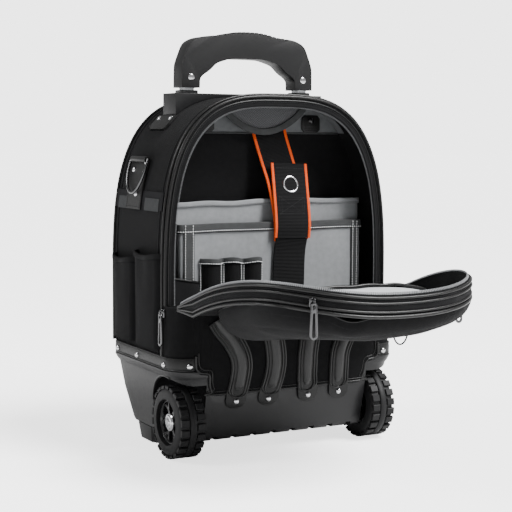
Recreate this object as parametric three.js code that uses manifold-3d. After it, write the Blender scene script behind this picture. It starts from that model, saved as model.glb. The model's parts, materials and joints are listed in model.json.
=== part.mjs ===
// A wheeled tool backpack, standing with its front door folded forward.
// Millimetres, +Z up, the front towards -Y, the floor at z = 0.
import * as THREE from 'three';
import { mergeVertices } from 'three/addons/utils/BufferGeometryUtils.js';
import Module from 'manifold-3d';

const wasm = await Module();
wasm.setup();

// Clearances and walls
const GAP = 0.3;               // between pieces that touch
const SEAT = 0.7;              // between a sewn piece and the curved cloth it lies on
const WALL = 3;                // cloth of the bag and the door
const POCKET_WALL = 2;         // cloth of the pockets

// Facets round circles, and columns and rows of curved sheets
const WELL_FACETS = 40;
const HUB_FACETS = 20;
const BORE_FACETS = 14;
const BOSS_FACETS = 16;
const EYELET_FACETS = 20;
const FOLD_FACETS = 14;
const WIRE_FACETS = 6;
const RING_STEPS = 12;
const STRIP_STEPS = 6;
const CURVE_STEPS = 8;
const FLAP_STEPS = 14;
const PEN_STEPS = 6;

// The bag's arch, seen from the front
const BAG_HALF_WIDTH = 210;
const BAG_TOP = 590;
const ARCH_START = 268;        // height where the straight sides end
const ARCH_POWER = 3.1;        // 2 is an ellipse, more is squarer
const ARCH_STEPS = 24;
const BAG_FRONT = -102;
const BAG_BACK = 102;
const BACK_PAD = 12;
const PARTITION_FRONT = -31;
const RIM_WIDTH = 18;          // the zipped flange round the door opening
const RIM_DEPTH = 5;

// The moulded base
const BASE_UNDERSIDE = 27;
const BASE_RIM = 149;
const BASE_HALF_WIDTH = 213;
const BASE_FRONT = -147.5;
const BASE_BACK = 102;
const BASE_WALL = 3.5;
const BASE_FRONT_CORNER = 34;
const BASE_BACK_CORNER = 14;
const UPSTAND_HEIGHT = 21;     // the lip inside the riveted band
const BAND_THICKNESS = 2.4;
// Shares of the base's height, half width, front and back
const BASE_SECTIONS = [
  { height: 0, width: 0.855, front: 0.84, back: 0.865 },
  { height: 0.516, width: 0.93, front: 0.939, back: 0.94 },
  { height: 0.893, width: 0.967, front: 0.99, back: 0.98 },
  { height: 1, width: 1, front: 1, back: 1 },
];

// Feet under the back of the base
const FOOT_OUTER = 182;
const FOOT_WIDTH = 34;
const FOOT_FRONT = 6;
const FOOT_LENGTH = 62;
const FOOT_TAPER = 4;

// Wheels, tyres and axle
const WHEEL_RADIUS = 60;
const WHEEL_WIDTH = 46;
const WHEEL_OUTER_FACE = 204;
const AXLE_Y = -99;
const AXLE_RADIUS = 6;
const LUGS_PER_ROW = 18;
const LUG_HEIGHT = 5;
const LUG_SLANT = 0.25;        // how far a lug's foot is wider than its top, in steps
const CENTRE_GROOVE = 0.35;    // depth of the groove between the rows, as a share of a lug
const TREAD_ROWS = [-1, -0.8, -0.13, 0.13, 0.8, 1];
const STEPS_PER_LUG = 4;
const HUB_RADIUS = 37;
const HUB_BOSS = 12;
const HUB_WIDTH = 34;
const HUB_SPOKES = 6;
const HUB_PLATE = 10;
const HUB_RECESS = 6;
const HUB_BOSS_RECESS = 2;
const HUB_RIM = 3;
const HUB_WINDOW_MARGIN = 5;   // from the hub's outside to its windows
const HUB_WINDOW_FOOT = 4;     // from the boss to the windows
const HUB_WINDOW_OUTER = [0.14, 0.38, 0.62, 0.86];   // shares of one spoke's angle
const HUB_WINDOW_INNER = [0.72, 0.28];
const CAP_RADIUS = 14.5;
const CAP_HEIGHT = 5;
const CAP_CHAMFER = 3;
const WELL_RADIUS = 70;
const WELL_INNER = 152;
const WELL_FORWARD = 6;        // the well's centre lies this far before and above the axle

// The sewn front panel, which dips over the base between the wheels
const PANEL_TOP = 251;
const PANEL_BULGE = 5;
const CORNER_STEPS = 4;        // columns round one corner of the base and the panel
const PANEL_ROWS = 5;
const PANEL_FLAT_COLUMNS = [0, 0.35, 0.7];   // shares of the dip's half width
// The lower edge of the panel: half width as a share of the bag's, height as a share of the rim's
const PANEL_EDGE = [
  { across: 0.638, up: 0.705 },
  { across: 0.69, up: 0.785 },
  { across: 0.702, up: 0.932 },
  { across: 0.79, up: 0.96 },
  { across: 0.824, up: 1.15 },
];

// Skid ribs on the front panel
const RIB_WIDTH = 44;
const RIB_THICKNESS = 3;
const RIB_CREST = 8;
const RIB_TAB_ROWS = 2;        // rows at the lower end that stay flat as a tab
const RIB_TAB_SHARE = 0.6;     // width of the tab's end
const RIB_PROFILE = [
  { across: -0.5, rise: 0 }, { across: -0.3, rise: 0 }, { across: -0.2, rise: 1 },
  { across: 0.2, rise: 1 }, { across: 0.3, rise: 0 }, { across: 0.5, rise: 0 },
];
// Two ribs, mirrored: place across the bag and height as shares of the half width and the panel's top
const OUTER_RIB = [
  { across: 0.467, up: 0.32 }, { across: 0.467, up: 0.358 }, { across: 0.462, up: 0.42 },
  { across: 0.448, up: 0.51 }, { across: 0.443, up: 0.62 }, { across: 0.468, up: 0.7 },
  { across: 0.53, up: 0.79 }, { across: 0.6, up: 0.86 }, { across: 0.645, up: 0.92 },
];
const INNER_RIB = [
  { across: 0.185, up: 0.32 }, { across: 0.182, up: 0.358 }, { across: 0.172, up: 0.42 },
  { across: 0.15, up: 0.51 }, { across: 0.142, up: 0.62 }, { across: 0.15, up: 0.7 },
  { across: 0.17, up: 0.79 }, { across: 0.2, up: 0.86 }, { across: 0.222, up: 0.92 },
];

// The door, folded forward
const DOOR_LENGTH = 357;
const DOOR_HALF_WIDTH = 204;
const DOOR_HINGE_Z = 255.6;
const DOOR_TILT = 22.1;        // degrees
const DOOR_SAG = 89;           // how far the free end hangs below its straight line
const DOOR_CUP = 20;           // how far the sides curl up near the free end
const DOOR_DEPTH = 30;
const DOOR_HINGE_DEPTH = 4;
const DOOR_DEEPENS = 0.168;    // share of the length over which the gusset gains its depth
const DOOR_COLUMNS = 8;
// The outer pocket: shares of the door's length and half width
const DOOR_POCKET = { start: 0.084, end: 0.93, across: 0.912 };
const DOOR_POCKET_BULGE = 46;
const DOOR_POCKET_SEAT = 1;
const DOOR_POCKET_COLUMNS = 24;
const DOOR_POCKET_REACHES = [0, 0.5, 0.8, 0.94, 1];
const DOOR_POCKET_FULLNESS = 6;   // how squarely its face meets its sides
const PULL_CORD = { x: 77, s: 222, halfWidth: 14, hang: 24, radius: 1.3 };
const CORD_STEPS = 12;
const CORD_FACETS = 8;
// Rows across the door as shares of its length; pockets name their first and last row
const DOOR_ROWS = [0, 0.084, 0.168, 0.28, 0.42, 0.48, 0.58, 0.7, 0.81, 0.9, 0.955, 0.985, 1];
const REAR_INNER_POCKET = { firstRow: 1, lastRow: 4, halfWidth: 172, rise: 18 };
const FRONT_INNER_POCKET = { firstRow: 5, lastRow: 8, halfWidth: 120, rise: 12 };
const INNER_POCKET_NARROWS = 0.16;
const INNER_POCKET_SEAM_RISE = 0.12;

// Telescoping handle
const HANDLE_HALF_SPACING = 110;
const HANDLE_Y = 21;
const ROD_WIDTH = 21.5;
const ROD_DEPTH = 20;
const ROD_WALL = 1.5;
const ROD_BOTTOM = 70;
const ROD_IN_GRIP = 30;
const GUIDE_WALL = 2.4;
const GRIP_TOP = BAG_TOP + 111.5;
const GRIP_BOTTOM = BAG_TOP + 14.7;
const GRIP_DEPTH = 34;
const GRIP_BEVEL = 4;
// Outer and inner outline of half the grip: place across and height, both as shares
const GRIP_OUTER = [
  { across: 1.155, up: 0 }, { across: 1.15, up: 0.36 }, { across: 1.13, up: 0.46 },
  { across: 1.03, up: 0.74 }, { across: 0.93, up: 0.84 }, { across: 0.8, up: 0.89 },
  { across: 0.5, up: 0.93 }, { across: 0.24, up: 1 }, { across: 0, up: 1 },
];
const GRIP_INNER = [
  { across: 0, up: 0.53 }, { across: 0.3, up: 0.52 }, { across: 0.56, up: 0.427 },
  { across: 0.66, up: 0.325 }, { across: 0.77, up: 0.24 }, { across: 0.84, up: 0.14 },
  { across: 0.845, up: 0 },
];

// Top housing and the leather corner patches
const HOUSING_TOP = BAG_TOP + 5;
const HOUSING_HALF_WIDTH = 142;
const HOUSING_FRONT = -4;
const HOUSING_BACK = 47;
const PATCH_FRONT = -15;
const PATCH_BACK = 57;
const PATCH_LOW = BAG_TOP - 58;
const PATCH_THICKNESS = 2.5;

// Inside the bag
const REAR_SLEEVE = { left: -176, right: 190, front: -60, bottom: 200, top: 418 };
const FRONT_SLEEVE = { left: -168, right: 182, front: -76, bottom: 190, top: 380 };
const PEN_POCKETS = { left: -131, right: -18, count: 3, depth: 15, valley: 0.25, bottom: 210, top: 322 };
const WALL_POCKET = { inner: -136, front: -97, bottom: 205, top: 296 };
// Its front in plan: share of the bag's half width, and distance behind its front
const WALL_POCKET_FACE = [{ across: 1, back: 0 }, { across: 0.92, back: 0 }, { across: 0.7, back: 6 }];
const WALL_POCKET_CORNER = 12;
const FLAP_HALF_WIDTH = 83;
const FLAP_DROP = 50;
const FLAP_Y = -48;
const FLAP_THICKNESS = 4;
const FLAP_FULLNESS = 0.7;     // below 1 the lower edge is fuller than a half ellipse
const TAB_X = 103;
const TAB_WIDTH = 36;
const TAB_LOW = BAG_TOP - 60;
const TAB_HEIGHT = 30;
const TAB_THICKNESS = 2.5;
const STRAP_THICKNESS = 2.4;
const UPPER_STRAP_WIDTH = 66;
const LOWER_STRAP_WIDTH = 70;
const TAIL_WIDTH = 61;
// Centre line of the retention strap: across, outwards from the partition, and height
const STRAP_START = BAG_TOP - 16;
const UPPER_STRAP = [
  { across: 17, out: 0.3, up: STRAP_START }, { across: 18, out: 3, up: 534 },
  { across: 26, out: 16, up: 486 },
  { across: 33, out: 33, up: 440 }, { across: 37, out: 46.5, up: 385 }, { across: 38, out: 47.5, up: 348 },
];
const LOWER_STRAP = [
  { across: 42, out: 29.5, up: 477 }, { across: 39, out: 50.5, up: 385 }, { across: 38, out: 51, up: 352 },
];
const TAIL_STRAP = [
  { across: 38, out: 51, up: 352 }, { across: 36, out: 46.5, up: 320 }, { across: 34, out: 46.5, up: 240 },
];
const EYELET_OUTER = 15;
const EYELET_INNER = 10.5;
const EYELET_THICKNESS = 2;
const EYELET_SHARE = 0.38;     // its place between the first two rows of LOWER_STRAP

// On the sides
const SIDE_POCKETS = [
  { name: 'side_pocket_front', front: -98, back: -3, bottom: 180, top: 334 },
  { name: 'side_pocket_rear', front: 3, back: 90, bottom: 180, top: 322 },
];
const SIDE_POCKET_BULGE = 12;
// Half of a side pocket in plan: distance out and along, as shares of its bulge and its length
const SIDE_POCKET_FACE = [{ out: 0, along: 0 }, { out: 0.8, along: 0.07 }, { out: 1, along: 0.3 }];
const WEBBING_FRONT = -92;
const WEBBING_BACK = 98;
const WEBBING_LOW = 402;
const WEBBING_WIDTH = 30;
const WEBBING_THICKNESS = 1.5;
const RING_TAB = { front: -10, back: 50, low: 400, high: 484, thickness: 2.5 };
const RING_WIRE = 2.5;         // radius of the D-ring's wire
const RING_HALF_WIDTH = 35;
const RING_DROP = 56;
const RING_ROLL = 5.2;         // radius of the fold that holds the ring
const RING_LEAN = 0.02;        // how far its lower end stands off, as a share of its height
const RING_FULLNESS = 0.8;

// Zip pulls
const PULL_LENGTH = 55;
const PULL_WIDTH = 13;
const PULL_THICKNESS = 2.5;
const SLIDER_SIZE = 9;
// Half of the pull's outline from its slider down, and the slot in it
const PULL_OUTLINE = [
  { across: 0.6, down: 0 }, { across: 0.7, down: 0.4 }, { across: 1, down: 0.85 }, { across: 0.7, down: 1 },
];
const PULL_SLOT = { across: 0.55, half: 0.09, down: 0.84, facets: 12 };
const CORNER_PULL_FORWARD = 0.7;   // how far the corner's slider stands forward, in sliders
const FRONT_PULL = { row: 9, drop: 0.6 };
const RIGHT_PULL = { row: 6, drop: 1 };

// Straps on the back
const SHOULDER_X = 75;
const SHOULDER_WIDTH = 62;
const SHOULDER_THICKNESS = 14;
const SHOULDER_BEVEL = 4;
const SHOULDER_LOW = 255;
const SHOULDER_HIGH = BAG_TOP - 65;
const LOWER_WEB_X = 150;
const LOWER_WEB_END = 185;
const LOWER_WEB_WIDTH = 25;
const LOWER_WEB_THICKNESS = 2.5;

const part = new THREE.Group();
const bag = new THREE.Group();
part.add(bag);

// Finishes: a new material for each mesh
const finish = {
  nylon: () => new THREE.MeshStandardMaterial({ color: 0x1b1b1c, roughness: 0.9, metalness: 0 }),
  greyCloth: () => new THREE.MeshStandardMaterial({ color: 0x87888a, roughness: 0.9, metalness: 0 }),
  paleCloth: () => new THREE.MeshStandardMaterial({ color: 0xc6c7c8, roughness: 0.85, metalness: 0 }),
  webbing: () => new THREE.MeshStandardMaterial({ color: 0x3a3a3c, roughness: 0.85, metalness: 0 }),
  leather: () => new THREE.MeshStandardMaterial({ color: 0x232323, roughness: 0.6, metalness: 0 }),
  moulded: () => new THREE.MeshStandardMaterial({ color: 0x424244, roughness: 0.55, metalness: 0 }),
  rubber: () => new THREE.MeshStandardMaterial({ color: 0x1f1f20, roughness: 0.8, metalness: 0 }),
  black: () => new THREE.MeshStandardMaterial({ color: 0x141415, roughness: 0.5, metalness: 0 }),
  chrome: () => new THREE.MeshStandardMaterial({ color: 0xd8d8da, roughness: 0.15, metalness: 1 }),
  aluminium: () => new THREE.MeshStandardMaterial({ color: 0xb9bbbe, roughness: 0.35, metalness: 1 }),
  steel: () => new THREE.MeshStandardMaterial({ color: 0x8d8f92, roughness: 0.4, metalness: 1 }),
};

function add(name, geometry, makeFinish, parent = bag) {
  const mesh = new THREE.Mesh(geometry, makeFinish());
  mesh.name = name;
  parent.add(mesh);
  return mesh;
}

// Solids and booleans
function toManifold(geometry) {
  const bare = geometry.clone();
  bare.deleteAttribute('normal');
  bare.deleteAttribute('uv');
  const merged = mergeVertices(bare, 1e-4);
  return new wasm.Manifold(new wasm.Mesh({
    numProp: 3,
    vertProperties: new Float32Array(merged.attributes.position.array),
    triVerts: new Uint32Array(merged.index.array),
  }));
}

function toGeometry(manifold) {
  const mesh = manifold.getMesh();
  const geometry = new THREE.BufferGeometry();
  geometry.setAttribute('position', new THREE.BufferAttribute(new Float32Array(mesh.vertProperties), 3));
  geometry.setIndex(new THREE.BufferAttribute(new Uint32Array(mesh.triVerts), 1));
  geometry.computeVertexNormals();
  return geometry;
}

function cut(geometry, ...cutters) {
  const start = toManifold(geometry);
  return toGeometry(cutters.reduce((solid, cutter) => solid.subtract(toManifold(cutter)), start));
}

function join(geometry, ...others) {
  const start = toManifold(geometry);
  return toGeometry(others.reduce((solid, other) => solid.add(toManifold(other)), start));
}

function box(x0, x1, y0, y1, z0, z1) {
  const geometry = new THREE.BoxGeometry(Math.abs(x1 - x0), Math.abs(y1 - y0), Math.abs(z1 - z0));
  return geometry.translate((x0 + x1) / 2, (y0 + y1) / 2, (z0 + z1) / 2);
}

function rodAlongX(x0, x1, y, z, radius, sides) {
  const geometry = new THREE.CylinderGeometry(radius, radius, Math.abs(x1 - x0), sides);
  return geometry.rotateZ(Math.PI / 2).translate((x0 + x1) / 2, y, z);
}

// Points round an ellipse, the last one not repeated
const roundOutline = (x, y, radiusX, radiusY, count) => Array.from({ length: count }, (_, i) => {
  const angle = (2 * Math.PI * i) / count;
  return [x + radiusX * Math.cos(angle), y + radiusY * Math.sin(angle)];
});

const shapeOf = (points) => new THREE.Shape(points.map(([a, b]) => new THREE.Vector2(a, b)));
const asShape = (outline) => (outline instanceof THREE.Shape ? outline : shapeOf(outline));

// An outline in x and z, pulled along y
function alongY(outline, front, back, bevel = 0) {
  const geometry = new THREE.ExtrudeGeometry(asShape(outline), {
    depth: back - front - 2 * bevel, bevelEnabled: bevel > 0, bevelSize: bevel, bevelOffset: -bevel,
    bevelThickness: bevel, bevelSegments: 1, curveSegments: CURVE_STEPS,
  });
  return geometry.rotateX(Math.PI / 2).translate(0, back - bevel, 0);
}

// An outline in x and y, pulled up along z
function alongZ(outline, low, high) {
  const geometry = new THREE.ExtrudeGeometry(asShape(outline), { depth: high - low, bevelEnabled: false });
  return geometry.translate(0, 0, low);
}

// Vertices and faces to a clean geometry: doubles merged, flat triangles dropped
function fromFaces(points, faces) {
  const raw = new THREE.BufferGeometry();
  raw.setAttribute('position', new THREE.Float32BufferAttribute(points.flat(), 3));
  raw.setIndex(faces);
  const merged = mergeVertices(raw, 1e-3);
  const index = merged.index.array;
  const kept = [];
  for (let i = 0; i < index.length; i += 3) {
    const [a, b, c] = [index[i], index[i + 1], index[i + 2]];
    if (a !== b && b !== c && c !== a) kept.push(a, b, c);
  }
  merged.setIndex(kept);
  merged.computeVertexNormals();
  return merged;
}

function volumeOf(geometry) {
  const p = geometry.attributes.position;
  const index = geometry.index.array;
  const [a, b, c] = [new THREE.Vector3(), new THREE.Vector3(), new THREE.Vector3()];
  let sum = 0;
  for (let i = 0; i < index.length; i += 3) {
    a.fromBufferAttribute(p, index[i]);
    b.fromBufferAttribute(p, index[i + 1]);
    c.fromBufferAttribute(p, index[i + 2]);
    sum += a.dot(b.cross(c)) / 6;
  }
  return sum;
}

function facingOut(geometry) {
  if (volumeOf(geometry) > 0) return geometry;
  const index = geometry.index.array;
  for (let i = 0; i < index.length; i += 3) [index[i], index[i + 1]] = [index[i + 1], index[i]];
  geometry.computeVertexNormals();
  return geometry;
}

// A closed wall between two surfaces, each a function of column and row.
// With loop true the last column is the first one again.
function wall(outer, inner, columns, rows, loop = false) {
  const points = [];
  const faces = [];
  for (const side of [outer, inner]) {
    for (let i = 0; i <= columns; i += 1) {
      for (let j = 0; j <= rows; j += 1) points.push(side(loop ? i % columns : i, j));
    }
  }
  const at = (side, i, j) => side * (columns + 1) * (rows + 1) + i * (rows + 1) + j;
  const quad = (a, b, c, d) => faces.push(a, b, c, a, c, d);
  for (let i = 0; i < columns; i += 1) {
    for (let j = 0; j < rows; j += 1) {
      quad(at(0, i, j), at(0, i + 1, j), at(0, i + 1, j + 1), at(0, i, j + 1));
      quad(at(1, i, j), at(1, i, j + 1), at(1, i + 1, j + 1), at(1, i + 1, j));
    }
    quad(at(0, i + 1, 0), at(0, i, 0), at(1, i, 0), at(1, i + 1, 0));
    quad(at(0, i, rows), at(0, i + 1, rows), at(1, i + 1, rows), at(1, i, rows));
  }
  for (let j = 0; !loop && j < rows; j += 1) {
    quad(at(0, 0, j), at(0, 0, j + 1), at(1, 0, j + 1), at(1, 0, j));
    quad(at(0, columns, j + 1), at(0, columns, j), at(1, columns, j), at(1, columns, j + 1));
  }
  return facingOut(fromFaces(points, faces));
}

// A solid lofted through closed rings of equal count, capped at both ends
function loft(rings) {
  const count = rings[0].length;
  const points = rings.flat();
  const faces = [];
  for (let r = 0; r + 1 < rings.length; r += 1) {
    for (let i = 0; i < count; i += 1) {
      const next = (i + 1) % count;
      const [a, b, c, d] = [r * count + i, r * count + next, (r + 1) * count + next, (r + 1) * count + i];
      faces.push(a, b, c, a, c, d);
    }
  }
  const last = (rings.length - 1) * count;
  for (let i = 1; i + 1 < count; i += 1) {
    faces.push(0, i + 1, i);
    faces.push(last, last + i, last + i + 1);
  }
  return facingOut(fromFaces(points, faces));
}

// A closed tube round a closed line of points
function ringTube(line, radius, sides) {
  const count = line.length;
  const points = [];
  const faces = [];
  for (let i = 0; i < count; i += 1) {
    const here = line[i];
    const along = line[(i + 1) % count].clone().sub(line[(i + count - 1) % count]).normalize();
    const across = new THREE.Vector3(1, 0, 0).cross(along).normalize();
    const out = along.clone().cross(across).normalize();
    for (let j = 0; j < sides; j += 1) {
      const angle = (2 * Math.PI * j) / sides;
      const p = here.clone().addScaledVector(across, radius * Math.cos(angle));
      p.addScaledVector(out, radius * Math.sin(angle));
      points.push([p.x, p.y, p.z]);
      const nextRing = ((i + 1) % count) * sides;
      const nextSide = (j + 1) % sides;
      faces.push(i * sides + j, nextRing + j, nextRing + nextSide);
      faces.push(i * sides + j, nextRing + nextSide, i * sides + nextSide);
    }
  }
  return facingOut(fromFaces(points, faces));
}

// The arch: a rounded top on straight sides
const archWidth = (inset) => BAG_HALF_WIDTH - inset;

function archTop(inset, steps = ARCH_STEPS) {
  const points = [];
  for (let i = 0; i <= steps; i += 1) {
    const angle = (Math.PI * i) / steps;
    const across = Math.sign(Math.cos(angle)) * Math.abs(Math.cos(angle)) ** (2 / ARCH_POWER);
    const up = Math.abs(Math.sin(angle)) ** (2 / ARCH_POWER);
    points.push([archWidth(inset) * across, ARCH_START + (BAG_TOP - inset - ARCH_START) * up]);
  }
  return points;
}

function archOutline(inset, low) {
  return [[archWidth(inset), low], ...archTop(inset), [-archWidth(inset), low]];
}

const archBand = (outerInset, innerInset, low) => [
  ...archOutline(outerInset, low), ...archOutline(innerInset, low).reverse(),
];

// Half width of the arch at a height, and its height at a place across
function archX(z, inset = 0) {
  const up = Math.max(0, (z - ARCH_START) / (BAG_TOP - inset - ARCH_START));
  return archWidth(inset) * (1 - Math.min(up, 1) ** ARCH_POWER) ** (1 / ARCH_POWER);
}

function archZ(x, inset = 0) {
  const across = Math.min(Math.abs(x) / archWidth(inset), 1);
  return ARCH_START + (BAG_TOP - inset - ARCH_START) * (1 - across ** ARCH_POWER) ** (1 / ARCH_POWER);
}

// A strip lying on the side of the arch, on the right (+1) or the left (-1)
function sideStrip(side, low, high, lift, thickness, front, back) {
  const outline = [];
  const edge = (distance, i) => {
    const z = low + ((high - low) * i) / STRIP_STEPS;
    return [side * (archX(z + distance * (z - ARCH_START) / (BAG_TOP - ARCH_START), -distance)), z];
  };
  for (let i = 0; i <= STRIP_STEPS; i += 1) outline.push(edge(lift, i));
  for (let i = STRIP_STEPS; i >= 0; i -= 1) outline.push(edge(lift + thickness, i));
  return alongY(outline, front, back);
}

// The base's outline in plan at a section, drawn in by an inset
function planRing(halfWidth, front, back, inset, z) {
  const ring = [];
  const corners = [
    [halfWidth, back, BASE_BACK_CORNER, 0], [-halfWidth, back, BASE_BACK_CORNER, 1],
    [-halfWidth, front, BASE_FRONT_CORNER, 2], [halfWidth, front, BASE_FRONT_CORNER, 3],
  ];
  for (const [x, y, radius, quarter] of corners) {
    const centre = [x - Math.sign(x) * radius, y - Math.sign(y - HANDLE_Y) * radius];
    for (let i = 0; i <= CORNER_STEPS; i += 1) {
      const angle = (Math.PI / 2) * (quarter + i / CORNER_STEPS);
      const reach = Math.max(radius - inset, 0.5);
      ring.push([centre[0] + reach * Math.cos(angle), centre[1] + reach * Math.sin(angle), z]);
    }
  }
  return ring;
}

const baseHeight = BASE_RIM - BASE_UNDERSIDE;

function baseAt(z) {
  const share = THREE.MathUtils.clamp((z - BASE_UNDERSIDE) / baseHeight, 0, 1);
  let row = 0;
  while (row + 2 < BASE_SECTIONS.length && share > BASE_SECTIONS[row + 1].height) row += 1;
  const [low, high] = [BASE_SECTIONS[row], BASE_SECTIONS[row + 1]];
  const t = (share - low.height) / (high.height - low.height);
  const mix = (key) => THREE.MathUtils.lerp(low[key], high[key], t);
  return {
    width: mix('width') * BASE_HALF_WIDTH,
    front: mix('front') * BASE_FRONT,
    back: mix('back') * BASE_BACK,
  };
}

const sectionZ = (section) => BASE_UNDERSIDE + section.height * baseHeight;
const upstandTop = BASE_RIM + UPSTAND_HEIGHT;
const upstandInset = BAND_THICKNESS + GAP;

function baseRing(z, inset) {
  const { width, front, back } = baseAt(z);
  return planRing(width, front, back, inset, z);
}

// Lower edge of the front panel and of the matching notch in the base
const edgePoint = (row) => [row.across * BAG_HALF_WIDTH, row.up * BASE_RIM];

function notchOutline() {
  const right = PANEL_EDGE.map(edgePoint).map(([x, z]) => [x + GAP, z - GAP]);
  const top = [right.at(-1)[0] + GAP, upstandTop + WALL];
  const left = [top, ...right.slice().reverse()].map(([x, z]) => [-x, z]);
  return [...right, top, ...left];
}

// The wheel well, grown by a wall for the hollow behind it
function well(side, grow) {
  const inner = side * (WELL_INNER - grow);
  const outer = side * (BASE_HALF_WIDTH + WALL);
  const y = AXLE_Y - WELL_FORWARD;
  const z = WHEEL_RADIUS + WELL_FORWARD;
  const radius = WELL_RADIUS + grow;
  const arch = rodAlongX(inner, outer, y, z, radius, WELL_FACETS);
  const below = box(inner, outer, y - radius, y + radius, -radius, z);
  return join(arch, below);
}

function makeBase() {
  const outerRings = BASE_SECTIONS.map((section) => baseRing(sectionZ(section), 0));
  outerRings.push(baseRing(BASE_RIM, upstandInset));
  outerRings.push(baseRing(BASE_RIM, upstandInset).map(([x, y]) => [x, y, upstandTop]));
  const innerInset = upstandInset + BASE_WALL;
  const floor = BASE_UNDERSIDE + BASE_WALL;
  const innerZ = [floor, ...BASE_SECTIONS.slice(1).map(sectionZ)];
  const innerRings = innerZ.map((z, i) => baseRing(z, i === innerZ.length - 1 ? innerInset : BASE_WALL));
  innerRings.push(baseRing(BASE_RIM, innerInset).map(([x, y]) => [x, y, upstandTop + WALL]));
  const hollow = cut(loft(innerRings), well(1, BASE_WALL), well(-1, BASE_WALL));
  const notch = alongY(notchOutline(), BASE_FRONT - WALL, BASE_FRONT + BASE_FRONT_CORNER / 2);
  const axleHole = rodAlongX(
    -WHEEL_OUTER_FACE, WHEEL_OUTER_FACE, AXLE_Y, WHEEL_RADIUS, AXLE_RADIUS + GAP, BORE_FACETS);
  const shell = cut(loft(outerRings), hollow, well(1, 0), well(-1, 0), notch, axleHole);
  return join(shell, foot(1), foot(-1));
}

function foot(side) {
  const ring = (z, grow) => {
    const [x0, x1] = [FOOT_OUTER - FOOT_WIDTH - grow, FOOT_OUTER + grow].map((x) => side * x);
    const [y0, y1] = [FOOT_FRONT - grow, FOOT_FRONT + FOOT_LENGTH + grow];
    return [[x0, y0, z], [x1, y0, z], [x1, y1, z], [x0, y1, z]];
  };
  return loft([ring(0, -FOOT_TAPER), ring(BASE_UNDERSIDE + BASE_WALL / 2, 0)]);
}

function makeBand() {
  const ring = (z, inset) => baseRing(BASE_RIM, inset).map(([x, y]) => [x, y, z]);
  const outer = loft([ring(BASE_RIM + GAP, 0), ring(upstandTop, 0)]);
  const inner = loft([ring(BASE_RIM - WALL, BAND_THICKNESS), ring(upstandTop + WALL, BAND_THICKNESS)]);
  const opening = PANEL_EDGE.at(-1).across * BAG_HALF_WIDTH + 2 * GAP;
  const gap = box(-opening, opening, BASE_FRONT - WALL, BASE_FRONT + BASE_FRONT_CORNER,
    BASE_RIM - WALL, upstandTop + WALL);
  return cut(outer, inner, gap);
}

// The bag's outer shell: side walls and arched top, with openings for the handle guides
const guideOuter = { width: ROD_WIDTH + 2 * (GAP + GUIDE_WALL), depth: ROD_DEPTH + 2 * (GAP + GUIDE_WALL) };

const guideHole = (side, clearance, low, high) => box(
  side * HANDLE_HALF_SPACING - guideOuter.width / 2 - clearance,
  side * HANDLE_HALF_SPACING + guideOuter.width / 2 + clearance,
  HANDLE_Y - guideOuter.depth / 2 - clearance, HANDLE_Y + guideOuter.depth / 2 + clearance, low, high);

function makeBagShell() {
  const shell = alongY(archBand(0, WALL, upstandTop + GAP), BAG_FRONT, BAG_BACK);
  const high = HOUSING_TOP + WALL;
  return cut(shell, guideHole(1, GAP, ARCH_START, high), guideHole(-1, GAP, ARCH_START, high));
}

const makeFrontRim = () => alongY(
  archBand(0, RIM_WIDTH, PANEL_TOP + GAP), BAG_FRONT - GAP - RIM_DEPTH, BAG_FRONT - GAP);

// The front panel: front and two rounded corners, its lower edge dipping between the wheels
function panelBulge(x, z) {
  const [low, high] = [PANEL_EDGE[0].up * BASE_RIM, PANEL_TOP];
  const up = THREE.MathUtils.clamp((z - low) / (high - low), 0, 1);
  const across = Math.min(Math.abs(x) / (PANEL_EDGE.at(-1).across * BAG_HALF_WIDTH), 1);
  return PANEL_BULGE * Math.sin(Math.PI * up) * (1 - across ** 2);
}

const panelFace = (x, z) => baseAt(z).front - panelBulge(x, z);

function panelColumns() {
  const edge = PANEL_EDGE.map(edgePoint);
  const flat = PANEL_FLAT_COLUMNS.map((share) => ({ x: share * edge[0][0], low: edge[0][1] }));
  const stepped = edge.slice(0, -1).map(([x, low]) => ({ x, low }));
  const last = { x: edge.at(-1)[0], low: upstandTop + GAP };
  return [...flat, ...stepped, last];
}

function makeFrontPanel() {
  const rows = PANEL_ROWS;
  const right = panelColumns();
  const front = [...right.slice(1).reverse().map((c) => ({ ...c, x: -c.x })), ...right];
  const radius = BASE_FRONT_CORNER - upstandInset;
  const halfWidth = BASE_HALF_WIDTH - upstandInset;
  const flatFront = (x, z, inset) => [x, panelFace(x, z) + inset, z];
  const corner = (side) => {
    const turned = [];
    for (let i = 1; i <= CORNER_STEPS; i += 1) turned.push((Math.PI / 2) * (i / CORNER_STEPS));
    const arc = turned.map((angle) => (z, inset) => {
      const reach = radius - inset;
      const centre = [halfWidth - radius, baseAt(BASE_RIM).front + upstandInset + radius];
      return [side * (centre[0] + reach * Math.sin(angle)), centre[1] - reach * Math.cos(angle), z];
    });
    const start = (z, inset) => [side * (halfWidth - radius), baseAt(z).front + upstandInset + inset, z];
    const end = (z, inset) => [side * (halfWidth - inset), BAG_FRONT - GAP, z];
    return [start, ...arc, end].map((at) => ({ at, low: upstandTop + GAP }));
  };
  const middle = front.map((c) => ({ at: (z, inset) => flatFront(c.x, z, inset), low: c.low }));
  const columns = [...corner(-1).reverse(), ...middle, ...corner(1)];
  const surface = (inset) => (i, j) => {
    const { at, low } = columns[i];
    return at(low + ((PANEL_TOP - low) * j) / rows, inset);
  };
  return wall(surface(0), surface(WALL), columns.length - 1, rows);
}

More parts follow.
